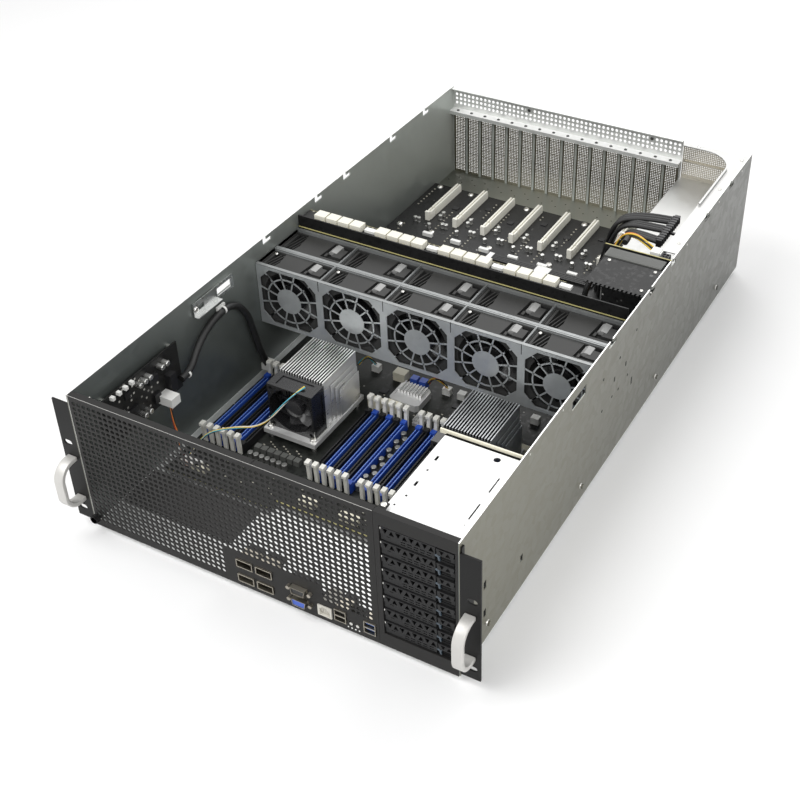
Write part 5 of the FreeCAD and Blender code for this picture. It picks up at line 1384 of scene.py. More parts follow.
def makeModule(row, number, front, back, cx):
    body = "fan_module_%s_%d" % (row, number)
    half = module["width"] / 2 - 0.4
    low, top = module["low"], module["top"]
    middle = (wall["z"] + 0.0)
    bm = bmesh.new()
    addBox(bm, cx - half, cx + half, front, back, low, top)
    softened(bm, 0.8, 2)
    shell = meshFrom(bm, body + "Shell")
    cut = bmesh.new()
    addFrontPrism(cut, circle(cx, middle, module["bore"], 56), front - 3, back + 3)
    depth = back - front
    # the finger recess at the left and the long dish at the right of the top
    share = depth / 34.5
    pit = [(cx - half + 1.6, back - 1.6), (cx - half + 1.6, front + 3.4), (cx - 24.0, front + 3.4), (cx - 21.5, front + 14.0), (cx - 24.5, back - 1.6)]
    pocket = [(cx + 14.0, back - 1.6), (cx + 11.5, front + 7.0), (cx + half - 1.4, front + 7.0), (cx + half - 1.4, back - 1.6)]
    addPlanPrism(cut, pit, top - 3.6, top + 3)
    addPlanPrism(cut, pocket, top - 3.4, top + 3)
    shell = carved(shell, [meshFrom(cut, body + "Cut")], body)
    piece("fanModule%s%d" % (row, number), smoothByAngle(shell, 34), "modulePlastic", body, stands=(body,))
    cap = bmesh.new()
    # the slanted release cap, pale, over its darker block
    addFrontPrism(cap, [(cx + 17.0, top - 3.0), (cx + 17.0, top - 0.3), (cx + 21.0, top + 2.4), (cx + 28.0, top + 1.5), (cx + 28.0, top - 3.0)],
                  front + 15.5 * share, front + 29.5 * share)
    softened(cap, 0.4, 1)
    piece("fanCap%s%d" % (row, number), meshFrom(cap, "fanCap"), "capPale", body)
    blocks = bmesh.new()
    addBox(blocks, cx + 25.0, cx + 37.5, front + 9.5 * share, front + 25.0 * share, top - 3.2, top + 1.2)
    softened(blocks, 0.5, 1)
    addBox(blocks, cx + 15.0, cx + 18.0, front + 9.0 * share, front + 15.0 * share, top - 3.2, top - 0.4)
    for k in range(3):
        a = cx - 37.0 + 4.6 * k
        addPlanPrism(blocks, [(a, front + 7.0), (a + 1.1, front + 7.0), (a + 7.6, back - 4.0), (a + 6.5, back - 4.0)], top - 3.4, top - 1.0)
    addBox(blocks, cx - half + 2.0, cx - half + 5.0, front + 5.0, back - 3.0, top - 3.4, top - 0.6)
    piece("fanBlock%s%d" % (row, number), meshFrom(blocks, "fanBlock"), "modulePlastic", body)
    shade = bmesh.new()
    for outline, floorZ in ((pit, top - 3.58), (pocket, top - 3.38)):
        middleX = sum(x for x, d in outline) / len(outline)
        middleD = sum(d for x, d in outline) / len(outline)
        addPlanPrism(shade, [(middleX + (x - middleX) * 0.97, middleD + (d - middleD) * 0.97) for x, d in outline], floorZ, floorZ + 0.25)
    piece("fanShade%s%d" % (row, number), meshFrom(shade, "fanShade"), "moduleDark", body)
    stay = bmesh.new()
    addFrontPrism(stay, circle(cx, middle, module["motor"], 32), back - 3.4, back - 1.0)
    for k in range(4):
        angle = math.pi / 4 + k * math.pi / 2
        along = Vector((math.cos(angle), 0, math.sin(angle)))
        across = Vector((-math.sin(angle), 0, math.cos(angle))) * 0.0015
        base = place(cx, back - 3.4, middle)
        start, end = base + along * 0.015, base + along * 0.0366
        addPrism(stay, [start - across, end - across, end + across, start + across], step(0, 2.2, 0))
    piece("fanStay%s%d" % (row, number), meshFrom(stay, "fanStay"), "fanPlastic", body)
    if row == "front":
        spot = [(cx - 36.5, back - 5.0, top - 0.6)]
        piece("fanScrew%d" % number, spotted("fanScrew%d" % number, screwTiles["small"], spot, "screwSteel"), "screwSteel", body)


makeFanWall()
wallBlade = bladeTile("wallBlade", 26.0, module["motor"] - 0.6, module["rotor"] - 0.4)
for row, front, back in moduleRows:
    for number, cx in enumerate(wall["centres"], 1):
        makeModule(row, number, front, back, cx)
        rotor = "fan_rotor_%s_%d" % (row, number)
        low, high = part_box(rotor)
        middle = [(a + b) / 2 / mm for a, b in zip(low, high)]
        depth = (high[1] - low[1]) / mm
        centre = (middle[0], middle[1] + frontDepth, middle[2])
        makeRotor("fanRotor%s%d" % (row, number), rotor, centre, min(depth, 27.0), module["motor"], module["rotor"], module["blades"], wallBlade)
dropTile(wallBlade)
print("fan wall made")


# The main board with its memory banks, chokes and capacitors.
board = {"low": 6.4, "top": 8.0, "outline": ((-205.0, 98.0), (-65.0, 98.0), (-65.0, 112.0), (126.0, 112.0), (126.0, 136.0), (205.0, 136.0), (205.0, 403.0), (-205.0, 403.0))}
memory = {"banks": (-194.5, -53.4, 14.2, 156.0), "count": 6, "pitch": 9.5, "front": 158.6, "back": 281.4, "wide": 6.6, "high": 10.5,
          "blue": ((0, 2, 4), (1, 3, 5), (0, 2, 4), (1, 3, 5)), "latchWide": 5.4, "latchTop": 38.0}


def socketTile(name):
    half = (memory["back"] - memory["front"]) / 2
    bm = bmesh.new()
    wide, high = memory["wide"] / 2, memory["high"]
    outline = [(-wide, 0), (wide, 0), (wide, high * 0.55), (wide - 0.5, high), (0.9, high), (0.9, high - 3.0), (-0.9, high - 3.0), (-0.9, high), (-wide + 0.5, high), (-wide, high * 0.55)]
    addPrism(bm, [step(x, -half, z) for x, z in outline], step(0, 2 * half, 0))
    for end in (-1, 1):
        addBox(bm, -wide, wide, frontDepth + end * (half - 3.4) - 3.2, frontDepth + end * (half - 3.4) + 3.2, high, high + 3.0)
    return loose(name, bm)


def makeMemory():
    tile = socketTile("memorySocket")
    spots = {"slotBlue": [], "slotBlack": []}
    middle = (memory["front"] + memory["back"]) / 2
    for bank, blues in zip(memory["banks"], memory["blue"]):
        for k in range(memory["count"]):
            spots["slotBlue" if k in blues else "slotBlack"].append((bank + 3.3 + memory["pitch"] * k - 3.3 + memory["wide"] / 2, middle, board["top"]))
    for look, places in spots.items():
        stands = ("dimm_slots",) if look == "slotBlue" else ()
        piece("memory" + look, spotted("memory" + look, tile, places, look), look, stands=stands)
    dropTile(tile)
    # painted highlight: lighter blue strips along the top lips of the blue sockets
    line = bmesh.new()
    for side in (-1, 1):
        addBox(line, side * 2.0 - 0.28, side * 2.0 + 0.28, frontDepth - 56.0, frontDepth + 56.0, memory["high"] - 0.1, memory["high"] + 0.12)
    highlightTile = loose("memoryLines", line)
    piece("memoryLines", spotted("memoryLines", highlightTile, spots["slotBlue"], "slotHighlight"), "slotHighlight")
    dropTile(highlightTile)
    # painted shade: dark slits stand for the shade in the contact openings along each socket's top
    slit = bmesh.new()
    for k in range(30):
        d = frontDepth - 55.0 + 3.7 * k
        for side in (-1, 1):
            addBox(slit, side * 1.25 - 0.3, side * 1.25 + 0.3, d, d + 1.9, memory["high"] - 0.05, memory["high"] + 0.06)
    slitTile = loose("memoryContacts", slit)
    piece("memoryContacts", spotted("memoryContacts", slitTile, spots["slotBlack"] + spots["slotBlue"], "bayDark"), "bayDark")
    dropTile(slitTile)


def latchTile(name, facing):
    # hooked lever with a thumb pad, as seen on each end of a memory socket
    half = memory["latchWide"] / 2
    bm = bmesh.new()
    stem = [(2.4, 0.6), (0.7, 3.6), (0.0, 20.0), (-0.6, 24.4), (3.6, 24.4), (4.4, 12.0), (4.2, 0.6)]
    head = [(-0.6, 24.4), (-2.2, 26.0), (-2.2, 29.4), (4.6, 30.0), (5.4, 28.4), (5.4, 25.4), (4.6, 24.4)]
    for side, share in ((stem, 0.74), (head, 1.0)):
        addPrism(bm, [step(-half * share, facing * d, z) for d, z in side], step(2 * half * share, 0, 0))
    softened(bm, 0.45, 1)
    return loose(name, bm)


def makeLatches():
    for end, name in (("front", "dimm_latches_front"), ("rear", "dimm_latches_rear")):
        low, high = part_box(name)
        d0, d1 = low[1] / mm + frontDepth, high[1] / mm + frontDepth
        tile = latchTile("latch" + end, 1 if end == "front" else -1)
        start = d0 + 2.4 if end == "front" else d1 - 2.4
        spots = [(bank + memory["pitch"] * k + memory["wide"] / 2, start, board["top"] + 0.05) for bank in memory["banks"] for k in range(memory["count"])]
        piece("memoryLatches" + end, spotted("memoryLatches" + end, tile, spots, "latchWhite"), "latchWhite", name, stands=(name,))
        dropTile(tile)


def makeBoard():
    bm = bmesh.new()
    addPlanPrism(bm, board["outline"], board["low"], board["top"])
    piece("mainBoard", meshFrom(bm, "mainBoard"), "mainBoard", stands=("motherboard",))
    edge = bmesh.new()
    for x0, x1, d in ((-205.0, -65.0, 98.0), (-65.0, 126.0, 112.0), (126.0, 205.0, 136.0)):
        addBox(edge, x0, x1, d - 0.05, d + 0.5, board["low"] + 0.1, board["top"] + 0.03)
    piece("mainBoardEdge", meshFrom(edge, "mainBoardEdge"), "boardEdge")
    posts = bmesh.new()
    for x in (-200.0, -60.0, 60.0, 200.0):
        for d in (150.0, 270.0, 392.0):
            addTurned(posts, place(x, d, 0), [(2.6, 1.2), (2.6, board["low"])], 6)
    piece("boardPosts", meshFrom(posts, "boardPosts"), "screwSteel")
    spots = [(x, d, board["top"]) for x in (-200.0, -60.0, 60.0, 200.0) for d in (150.0, 392.0)]
    piece("boardScrews", spotted("boardScrews", screwTiles["large"], spots, "screwSteel"), "screwSteel")


def canTile(name, radius, height):
    bm = bmesh.new()
    profile = [(radius, 0), (radius, height * 0.12), (radius * 0.93, height * 0.18), (radius, height * 0.24), (radius, height - 0.4), (radius - 0.5, height)]
    addTurned(bm, Vector(), profile, 14)
    return loose(name, bm)


def blockTile(name, wide, deep, high, bevel=0.5):
    bm = bmesh.new()
    addBox(bm, -wide / 2, wide / 2, frontDepth - deep / 2, frontDepth + deep / 2, 0, high)
    softened(bm, bevel)
    return loose(name, bm)


def copiesOf(name, tile, spots, look, body="chassis"):
    thing = piece(name, spotted(name, tile, spots, look), look, body)
    dropTile(tile)
    return thing


def makeBoardParts():
    top = board["top"]
    copiesOf("chokes", blockTile("choke", 7.4, 7.4, 7.0), [(-129.8 + 8.8 * k, 171.7, top) for k in range(7)]
             + [(84.0 + 8.8 * k, 150.0, top) for k in range(5)], "chokeGrey")
    cans = [(-131.0 + 7.6 * k, 158.0, top) for k in range(7)] + [(4.0 + 6.4 * (k % 2), 168.0 + 8.2 * k, top) for k in range(13)]
    cans += [(-120.0 + 11.0 * k, 312.0, top) for k in range(4)] + [(70.0 + 9.5 * k, 310.0, top) for k in range(5)]
    copiesOf("boardCans", canTile("boardCan", 3.3, 8.0), cans, "boardTin")
    copiesOf("boardChips", blockTile("boardChip", 9.0, 9.0, 1.2, 0.15),
             [(-178.0, 132.0, top), (-158.0, 138.0, top), (-30.0, 132.0, top), (-8.0, 140.0, top), (24.0, 132.0, top), (60.0, 140.0, top),
              (-150.0, 318.0, top), (150.0, 320.0, top), (-60.0, 330.0, top), (30.0, 345.0, top), (100.0, 342.0, top)], "chipBlack")
    tiny = [(-198.0 + 4.1 * k, 118.0 + 5.5 * ((k * 7) % 5), top) for k in range(34)]
    tiny += [(-58.0 + 4.3 * k, 121.0 + 4.6 * ((k * 5) % 6), top) for k in range(40)]
    tiny += [(-130.0 + 4.4 * k, 182.0 + 2.5 * ((k * 3) % 4), top) for k in range(12)]
    tiny += [(-196.0 + 5.6 * k, 298.0 + 4.2 * ((k * 5) % 7), top) for k in range(68)]
    copiesOf("boardTiny", blockTile("boardTinyOne", 2.0, 1.2, 0.8, 0.1), tiny, "partPale")
    plugs = bmesh.new()
    for x0, x1, d0, d1, high in ((-176, -158, 108, 118, 7), (-40, -20, 118, 126, 8), (10, 34, 118, 126, 8), (70, 104, 120, 128, 8)):
        addBox(plugs, x0, x1, d0, d1, top, top + high)
    softened(plugs, 0.5)
    piece("boardPlugsPale", meshFrom(plugs, "boardPlugsPale"), "creamPlastic")
    rear = bmesh.new()
    for k, x in enumerate((-150, -128, -62, -40, 46, 68, 108, 130)):
        addBox(rear, x, x + 16, 296.0 + 3 * (k % 2), 305.0 + 3 * (k % 2), top, top + 12.0)
    softened(rear, 0.5)
    addBox(rear, -62.0, -46.0, 354.0, 366.0, top, top + 12.0)
    piece("fanPlugs", meshFrom(rear, "fanPlugs"), "creamPlastic")
    blue = bmesh.new()
    for x in (-39.0, -27.0, 92.0):
        addBox(blue, x, x + 9.0, 355.0, 364.0, top, top + 10.0)
    softened(blue, 0.5)
    piece("dataPlugs", meshFrom(blue, "dataPlugs"), "vgaBlue")
    white = bmesh.new()
    for x in (4.0, 24.0, -94.0, 120.0):
        addBox(white, x, x + 10.0, 357.0, 365.0, top, top + 9.0)
    softened(white, 0.5)
    piece("dataPlugsPale", meshFrom(white, "dataPlugsPale"), "whitePlastic")
    sink = bmesh.new()
    addPlanPrism(sink, [(-44.0, 316.0), (-40.0, 312.0), (-8.0, 312.0), (-4.0, 316.0), (-4.0, 344.0), (-8.0, 348.0), (-40.0, 348.0), (-44.0, 344.0)], top, top + 9.0)
    softened(sink, 0.8, 2)
    for k in range(8):
        addBox(sink, -39.0 + 4.1 * k, -37.4 + 4.1 * k, 328.0, 346.0, top + 9.0, top + 13.0)
    piece("chipHeatsink", meshFrom(sink, "chipHeatsink"), "plateMetal")
    flat = bmesh.new()
    addBox(flat, 1.2, 13.6, 290.0, 304.0, top, top + 5.0)
    for k in range(4):
        addBox(flat, 1.6 + 3.1 * k, 2.9 + 3.1 * k, 290.4, 303.6, top + 5.0, top + 9.0)
    piece("smallHeatsink", meshFrom(flat, "smallHeatsink"), "plateMetal")


# The heatsinks: a thick plate, a tall fin block, side fins and a fan in front of each.
sinks = {"centres": (-103.0, 106.5), "plate": (34.5, 194.0, 298.0, 6.0), "finPitch": 3.5, "fins": 17, "front": 227.0, "back": 296.0,
         "top": 85.0, "socket": (29.0, 211.0, 281.0, 8.0), "plateLow": 16.0}
cpuFan = {"size": 60.0, "front": 202.0, "back": 227.0, "z": 52.15, "bore": 28.2, "hub": 11.5, "blades": 7, "rotor": 27.0}


def makeSinks():
    low = sinks["plateLow"]
    for index, cx in enumerate(sinks["centres"]):
        # painted shade: the second heatsink's fins are painted darker than the first's, though both are the same metal
        look = "finMetal" if index == 0 else "finShadedCopy"
        half, front, back, thick = sinks["plate"]
        bm = bmesh.new()
        addBox(bm, cx - half, cx + half, front, back, low, low + thick)
        softened(bm, 0.6, 2)
        stands = ("cpu_heatsinks",) if index == 0 else ()
        piece("sinkPlate%d" % index, meshFrom(bm, "sinkPlate"), "plateMetal", stands=stands)
        fins = bmesh.new()
        inner = bmesh.new()
        for k in range(sinks["fins"]):
            x = cx + (k - (sinks["fins"] - 1) / 2) * sinks["finPitch"]
            outermost = k in (0, sinks["fins"] - 1)
            addBox(fins if outermost else inner, x - 0.35, x + 0.35, sinks["front"] + 0.8, sinks["back"], low + thick, sinks["top"] - 0.8)
            addBox(fins, x - 0.62, x + 0.62, sinks["front"] + 0.8, sinks["back"], sinks["top"] - 0.8, sinks["top"])
            addBox(fins, x - 0.5, x + 0.5, sinks["front"], sinks["front"] + 0.8, low + thick, sinks["top"])
        for side in (-1, 1):
            for k in range(3):
                x = cx + side * ((sinks["fins"] - 1) / 2 * sinks["finPitch"] + 1.6 + 1.9 * k)
                x = min(max(x, cx - half + 0.4), cx + half - 0.4)
                addBox(fins, x - 0.3, x + 0.3, 240.0 + 6 * k, 292.0, low + thick, sinks["top"] - 12.0 - 6 * k)
        for z in (26.0, 44.0, 62.0, 80.0):
            addBox(inner, cx - 27.6, cx + 27.6, sinks["back"] - 1.4, sinks["back"] - 0.6, z, z + 1.0)
        # painted shade: the inner fins of each stack are painted dark, for the shade between the fins
        piece("sinkFinCores%d" % index, meshFrom(inner, "sinkFinCores"), "finShadeInner")
        piece("sinkFins%d" % index, meshFrom(fins, "sinkFins"), look)
        bm = bmesh.new()
        addBox(bm, cx - 29.0, cx + 29.0, 211.0, 281.0, board["top"], low)
        softened(bm, 0.6)
        piece("sinkSocket%d" % index, meshFrom(bm, "sinkSocket"), "plateMetal")
        spots = [(cx + sx * (half - 6.0), d, low + thick) for sx in (-1, 1) for d in (201.0, 291.0)]
        piece("sinkScrews%d" % index, spotted("sinkScrews%d" % index, screwTiles["card"], spots, "screwSteel"), "screwSteel")
        springs = bmesh.new()
        for x, d, z in spots:
            addTurned(springs, place(x, d, board["top"]), [(3.0, 0), (3.0, low - board["top"])], 12)
        piece("sinkSprings%d" % index, meshFrom(springs, "sinkSprings"), "screwSteel")
        frameBody = bmesh.new()
        h = cpuFan["size"] / 2 - 0.2
        addBox(frameBody, cx - h, cx + h, cpuFan["front"], cpuFan["back"] - 0.2, cpuFan["z"] - h, cpuFan["z"] + h)
        softened(frameBody, 2.2, 3)
        shell = meshFrom(frameBody, "fanFrame")
        cut = bmesh.new()
        addFrontPrism(cut, circle(cx, cpuFan["z"], cpuFan["bore"], 56), cpuFan["front"] - 3, cpuFan["back"] + 3)
        for sx, sz in ((1, 0), (-1, 0), (0, 1), (0, -1)):
            if sx:
                addBox(cut, cx + sx * h - 1.3 if sx > 0 else cx - h - 3.0, cx + h + 3.0 if sx > 0 else cx - h + 1.3, cpuFan["front"] + 4.5, cpuFan["back"] - 4.5, cpuFan["z"] - 21.0, cpuFan["z"] + 21.0)
            else:
                addBox(cut, cx - 21.0, cx + 21.0, cpuFan["front"] + 4.5, cpuFan["back"] - 4.5, cpuFan["z"] + h - 1.3 if sz > 0 else cpuFan["z"] - h - 3.0, cpuFan["z"] + h + 3.0 if sz > 0 else cpuFan["z"] - h + 1.3)
        for sx in (-1, 1):
            for sz in (-1, 1):
                addFrontPrism(cut, circle(cx + sx * 25.0, cpuFan["z"] + sz * 25.0, 2.2, 14), cpuFan["front"] - 2, cpuFan["front"] + 6)
        shell = carved(shell, [meshFrom(cut, "fanFrameCut")], "fanFrame%d" % index)
        piece("fanFrame%d" % index, smoothByAngle(shell, 34), "fanPlastic")
        spots = [(cx + sx * 25.0, cpuFan["front"] + 4.8, cpuFan["z"] + sz * 25.0) for sx in (-1, 1) for sz in (-1, 1)]
        piece("fanFrameScrews%d" % index, spotted("fanFrameScrews%d" % index, screwTiles["front"], spots, "screwSteel"), "screwSteel")
        clip = bmesh.new()
        for side in (-1, 1):
            x = cx + side * (h + 0.7)
            addBox(clip, x - 0.5, x + 0.5, cpuFan["front"] - 0.8, sinks["front"] + 8.0, low + thick, low + thick + 1.2)
            addBox(clip, x - 0.5, x + 0.5, cpuFan["front"] - 0.8, cpuFan["front"] + 0.4, low + thick, low + thick + 12.0)
        piece("fanClips%d" % index, meshFrom(clip, "fanClips"), "screwSteel")


makeBoard()
makeMemory()
makeLatches()
makeBoardParts()
makeSinks()
cpuBlade = bladeTile("cpuBlade", 17.0, cpuFan["hub"] - 0.6, cpuFan["rotor"] - 0.4)
for body, cx in zip(("cpu_rotor_left", "cpu_rotor_right"), sinks["centres"]):
    low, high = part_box(body)
    middle = [(a + b) / 2 / mm for a, b in zip(low, high)]
    makeRotor(body + "Wheel", body, (middle[0], middle[1] + frontDepth, middle[2]), min(17.0, (high[1] - low[1]) / mm), cpuFan["hub"], cpuFan["rotor"], cpuFan["blades"], cpuBlade, "fanBladeSheen")
dropTile(cpuBlade)
print("main board made")


# The power board behind the fans, and the card board with its slots.
power = {"front": 402.4, "back": 404.0, "low": 151.0, "top": 170.0, "shelf": (404.0, 428.0, 162.4, 164.0), "groups": (-198.7, -114.1, -29.0, 55.5),
         "plug": 16.2, "pitch": 16.5, "plugFront": 409.0, "plugBack": 422.0, "plugTop": 172.0}


def plugTile(name, wide, deep, high, cells, row=2):
    # a keyed power housing with an open cell for each pin
    bm = bmesh.new()
    half = wide / 2
    cell = (wide - 1.6) / cells
    holes = [(-half + 0.8 + cell * c + 0.45, -half + 0.8 + cell * (c + 1) - 0.45, frontDepth - deep / 2 + 0.8 + (deep - 1.6) / row * r + 0.6,
              frontDepth - deep / 2 + 0.8 + (deep - 1.6) / row * (r + 1) - 0.6) for c in range(cells) for r in range(row)]
    addPunched(bm, byTop, (-half, half, frontDepth - deep / 2, frontDepth + deep / 2), high - 3.0, high, holes)
    addBox(bm, -half, half, frontDepth - deep / 2, frontDepth + deep / 2, 0, high - 3.0)
    addBox(bm, -half * 0.35, half * 0.35, frontDepth - deep / 2 - 1.1, frontDepth - deep / 2, 1.0, high - 0.6)
    bmesh.ops.recalc_face_normals(bm, faces=bm.faces)
    return loose(name, bm)


def makePowerBoard():
    boxPiece("powerFace", [(-217.0, 211.0, power["front"], power["back"], power["low"], power["top"])], "riserFace", bevel=0.15, stands=("power_board",))
    boxPiece("powerFaceEdge", [(-217.0, 211.0, power["front"] - 0.5, power["front"] - 0.05, 154.2, 155.4)], "boardEdge")
    d0, d1, z0, z1 = power["shelf"]
    boxPiece("powerShelf", [(-217.0, 126.0, d0, d1, z0, z1)], "cardBoard", bevel=0.15)
    boxPiece("powerShelfEdge", [(-217.0, 126.0, d1 - 0.1, d1 + 0.25, z0 + 0.2, z1 + 0.02)], "boardEdge")
    tile = blockTile("powerPlug", power["plug"] - 1.6, power["plugBack"] - power["plugFront"], power["plugTop"] - z1, 0.7)
    middle = (power["plugFront"] + power["plugBack"]) / 2
    spots = [(x + power["plug"] / 2 + power["pitch"] * k, middle, z1) for x in power["groups"] for k in range(4)]
    copiesOf("powerPlugs", tile, spots, "plugCream")
    pins = bmesh.new()
    addBox(pins, -0.6, 0.6, frontDepth - 0.7, frontDepth + 3.6, 0.0, 1.4)
    pinSpots = [(x + 2.2 + 4.05 * k, power["shelf"][0] + 2.2, z1) for x in power["groups"] for k in range(16)]
    copiesOf("powerPins", loose("powerPin", pins), pinSpots, "goldPin")
    bars = bmesh.new()
    for x in power["groups"]:
        addBox(bars, x + 67.8, x + 82.0, 414.0, 420.5, z1, z1 + 3.4)
        addBox(bars, x + 71.0, x + 78.0, 405.6, 408.0, z1, z1 + 2.0)
    softened(bars, 0.4)
    piece("powerBars", meshFrom(bars, "powerBars"), "whitePlastic")
    copiesOf("powerTiny", blockTile("powerTinyOne", 2.2, 1.4, 0.9, 0.1), [(-210.0 + 7.0 * k, 425.4, z1) for k in range(47)], "partPale")
    # the uprights that carry the board from below
    boxPiece("powerUprights", [(-217.0, -213.0, 404.2, 420.0, 44.0, 162.0), (122.0, 126.0, 404.2, 420.0, 44.0, 162.0)], "rearSheet", bevel=0.3)
    boxPiece("powerRibbon", [(60.0, 84.0, 405.0, 406.0, 60.0, 162.0)], "sheathBlack", bevel=0.2)


cards = {"board": (-218.0, 126.0, 428.0, 741.0, 45.0, 47.0), "slots": 8, "first": -177.3, "pitch": 42.75, "wide": 7.6, "long": 89.0,
         "high": 11.0, "start": 648.0}


def makeCardBoard():
    x0, x1, d0, d1, z0, z1 = cards["board"]
    boxPiece("cardBoard", [(x0, x1, d0, d1, z0, z1)], "cardBoard", bevel=0.2, stands=("gpu_board",))
    boxPiece("cardBoardEdge", [(x0, x1, d0 - 0.02, d0 + 0.5, z0 + 0.2, z1 + 0.03)], "boardEdge")
    bm = bmesh.new()
    half, high = cards["wide"] / 2, cards["high"]
    outline = [(-half, 0), (half, 0), (half, high * 0.6), (half - 0.6, high), (0.9, high), (0.9, high - 5), (-0.9, high - 5), (-0.9, high), (-half + 0.6, high), (-half, high * 0.6)]
    for start, length in ((0.0, 13.0), (15.0, cards["long"] - 15.0)):
        addPrism(bm, [step(x, start, z) for x, z in outline], step(0, length, 0))
    addPrism(bm, [step(x, -4.0, z) for x, z in ((-half + 0.6, 0), (half - 0.6, 0), (half - 0.6, high + 2.0), (-half + 0.6, high + 2.0))], step(0, 4.0, 0))
    slotTile = loose("cardSlot", bm)
    spots = [(cards["first"] + cards["pitch"] * i, cards["start"], z1) for i in range(cards["slots"])]
    copiesOf("cardSlots", slotTile, spots, "slotCream")
    screws = [(x, d, z1) for d in (434.0, 500.0, 618.0, 733.0) for x in (-206.0, -156.0, -68.0, 20.0, 112.0)]
    piece("cardScrews", spotted("cardScrews", screwTiles["card"], screws, "screwSteel"), "screwSteel")
    cans = [(cards["first"] + cards["pitch"] * i + dx, d, z1) for i in range(8) for dx, d in ((-14.0, 636.0), (-8.5, 636.0), (12.0, 628.0), (15.0, 655.0), (15.0, 664.0))]
    copiesOf("cardCans", canTile("cardCan", 2.8, 7.0), [spot for spot in cans if spot[0] < 120.0], "canMetal")
    chips = [(cards["first"] + cards["pitch"] * i + 20.0, 690.0 + 18.0 * (i % 2), z1) for i in range(7)] + [(-150.0 + 60.0 * i, 560.0, z1) for i in range(5)]
    copiesOf("cardChips", blockTile("cardChip", 8.0, 8.0, 1.2, 0.15), chips, "chipBlack")
    for index, x in enumerate((-110.0, 30.0)):
        bm = bmesh.new()
        addBox(bm, x - 20.0, x + 20.0, 512.0, 552.0, z1, z1 + 3.0)
        for k in range(11):
            addBox(bm, x - 19.6 + 3.8 * k, x - 18.4 + 3.8 * k, 512.4, 551.6, z1 + 3.0, z1 + 16.0)
        piece("cardHeatsink%d" % index, meshFrom(bm, "cardHeatsink"), "chipBlack")
    bars = bmesh.new()
    for i in range(7):
        x = cards["first"] + cards["pitch"] * i + 14.0
        addBox(bars, x, x + 14.0, 606.0, 611.0, z1, z1 + 5.0)
    for i in range(6):
        x = -196.0 + 54.0 * i
        addBox(bars, x, x + 18.0, 470.0, 475.0, z1, z1 + 5.0)
    softened(bars, 0.4)
    piece("cardPlugs", meshFrom(bars, "cardPlugs"), "whitePlastic")
    tiny = [(-210.0 + 9.0 * ((k * 11) % 36), 440.0 + 7.9 * (k % 37), z1) for k in range(260)]
    blocked = [(cards["first"] + cards["pitch"] * i) for i in range(8)]
    tiny = [spot for spot in tiny if not (spot[1] > 640 and min(abs(spot[0] - b) for b in blocked) < 7)]
    copiesOf("cardTiny", blockTile("cardTinyOne", 2.2, 1.3, 0.9, 0.1), tiny, "partPale")


makePowerBoard()
makeCardBoard()
print("power board and card board made")

# The rear wall: a low shelf, sixteen perforated covers, a screw shelf and a perforated strip on top.
rear = {"front": 798.8, "back": 800.0, "low": 39.5, "shelf": 1.2, "screwShelf": 142.0, "left": -218.8, "right": 127.0, "covers": 16,
        "first": -217.6, "pitch": 21.4, "wide": 20.4, "coverTop": 142.0, "coverLow": 40.7, "mesh": 2.55, "columns": 6, "stripLow": 147.6, "stripScrews": (-99.0, 83.0)}


def squareTile(name, pitch, opening, thickness):
    # one cell of a mesh: a frame turned a half corner, six sided holes leave thin diagonal webs
    return holeTile(name, pitch, pitch, circle(0, 0, opening, 8, 1.0), thickness)


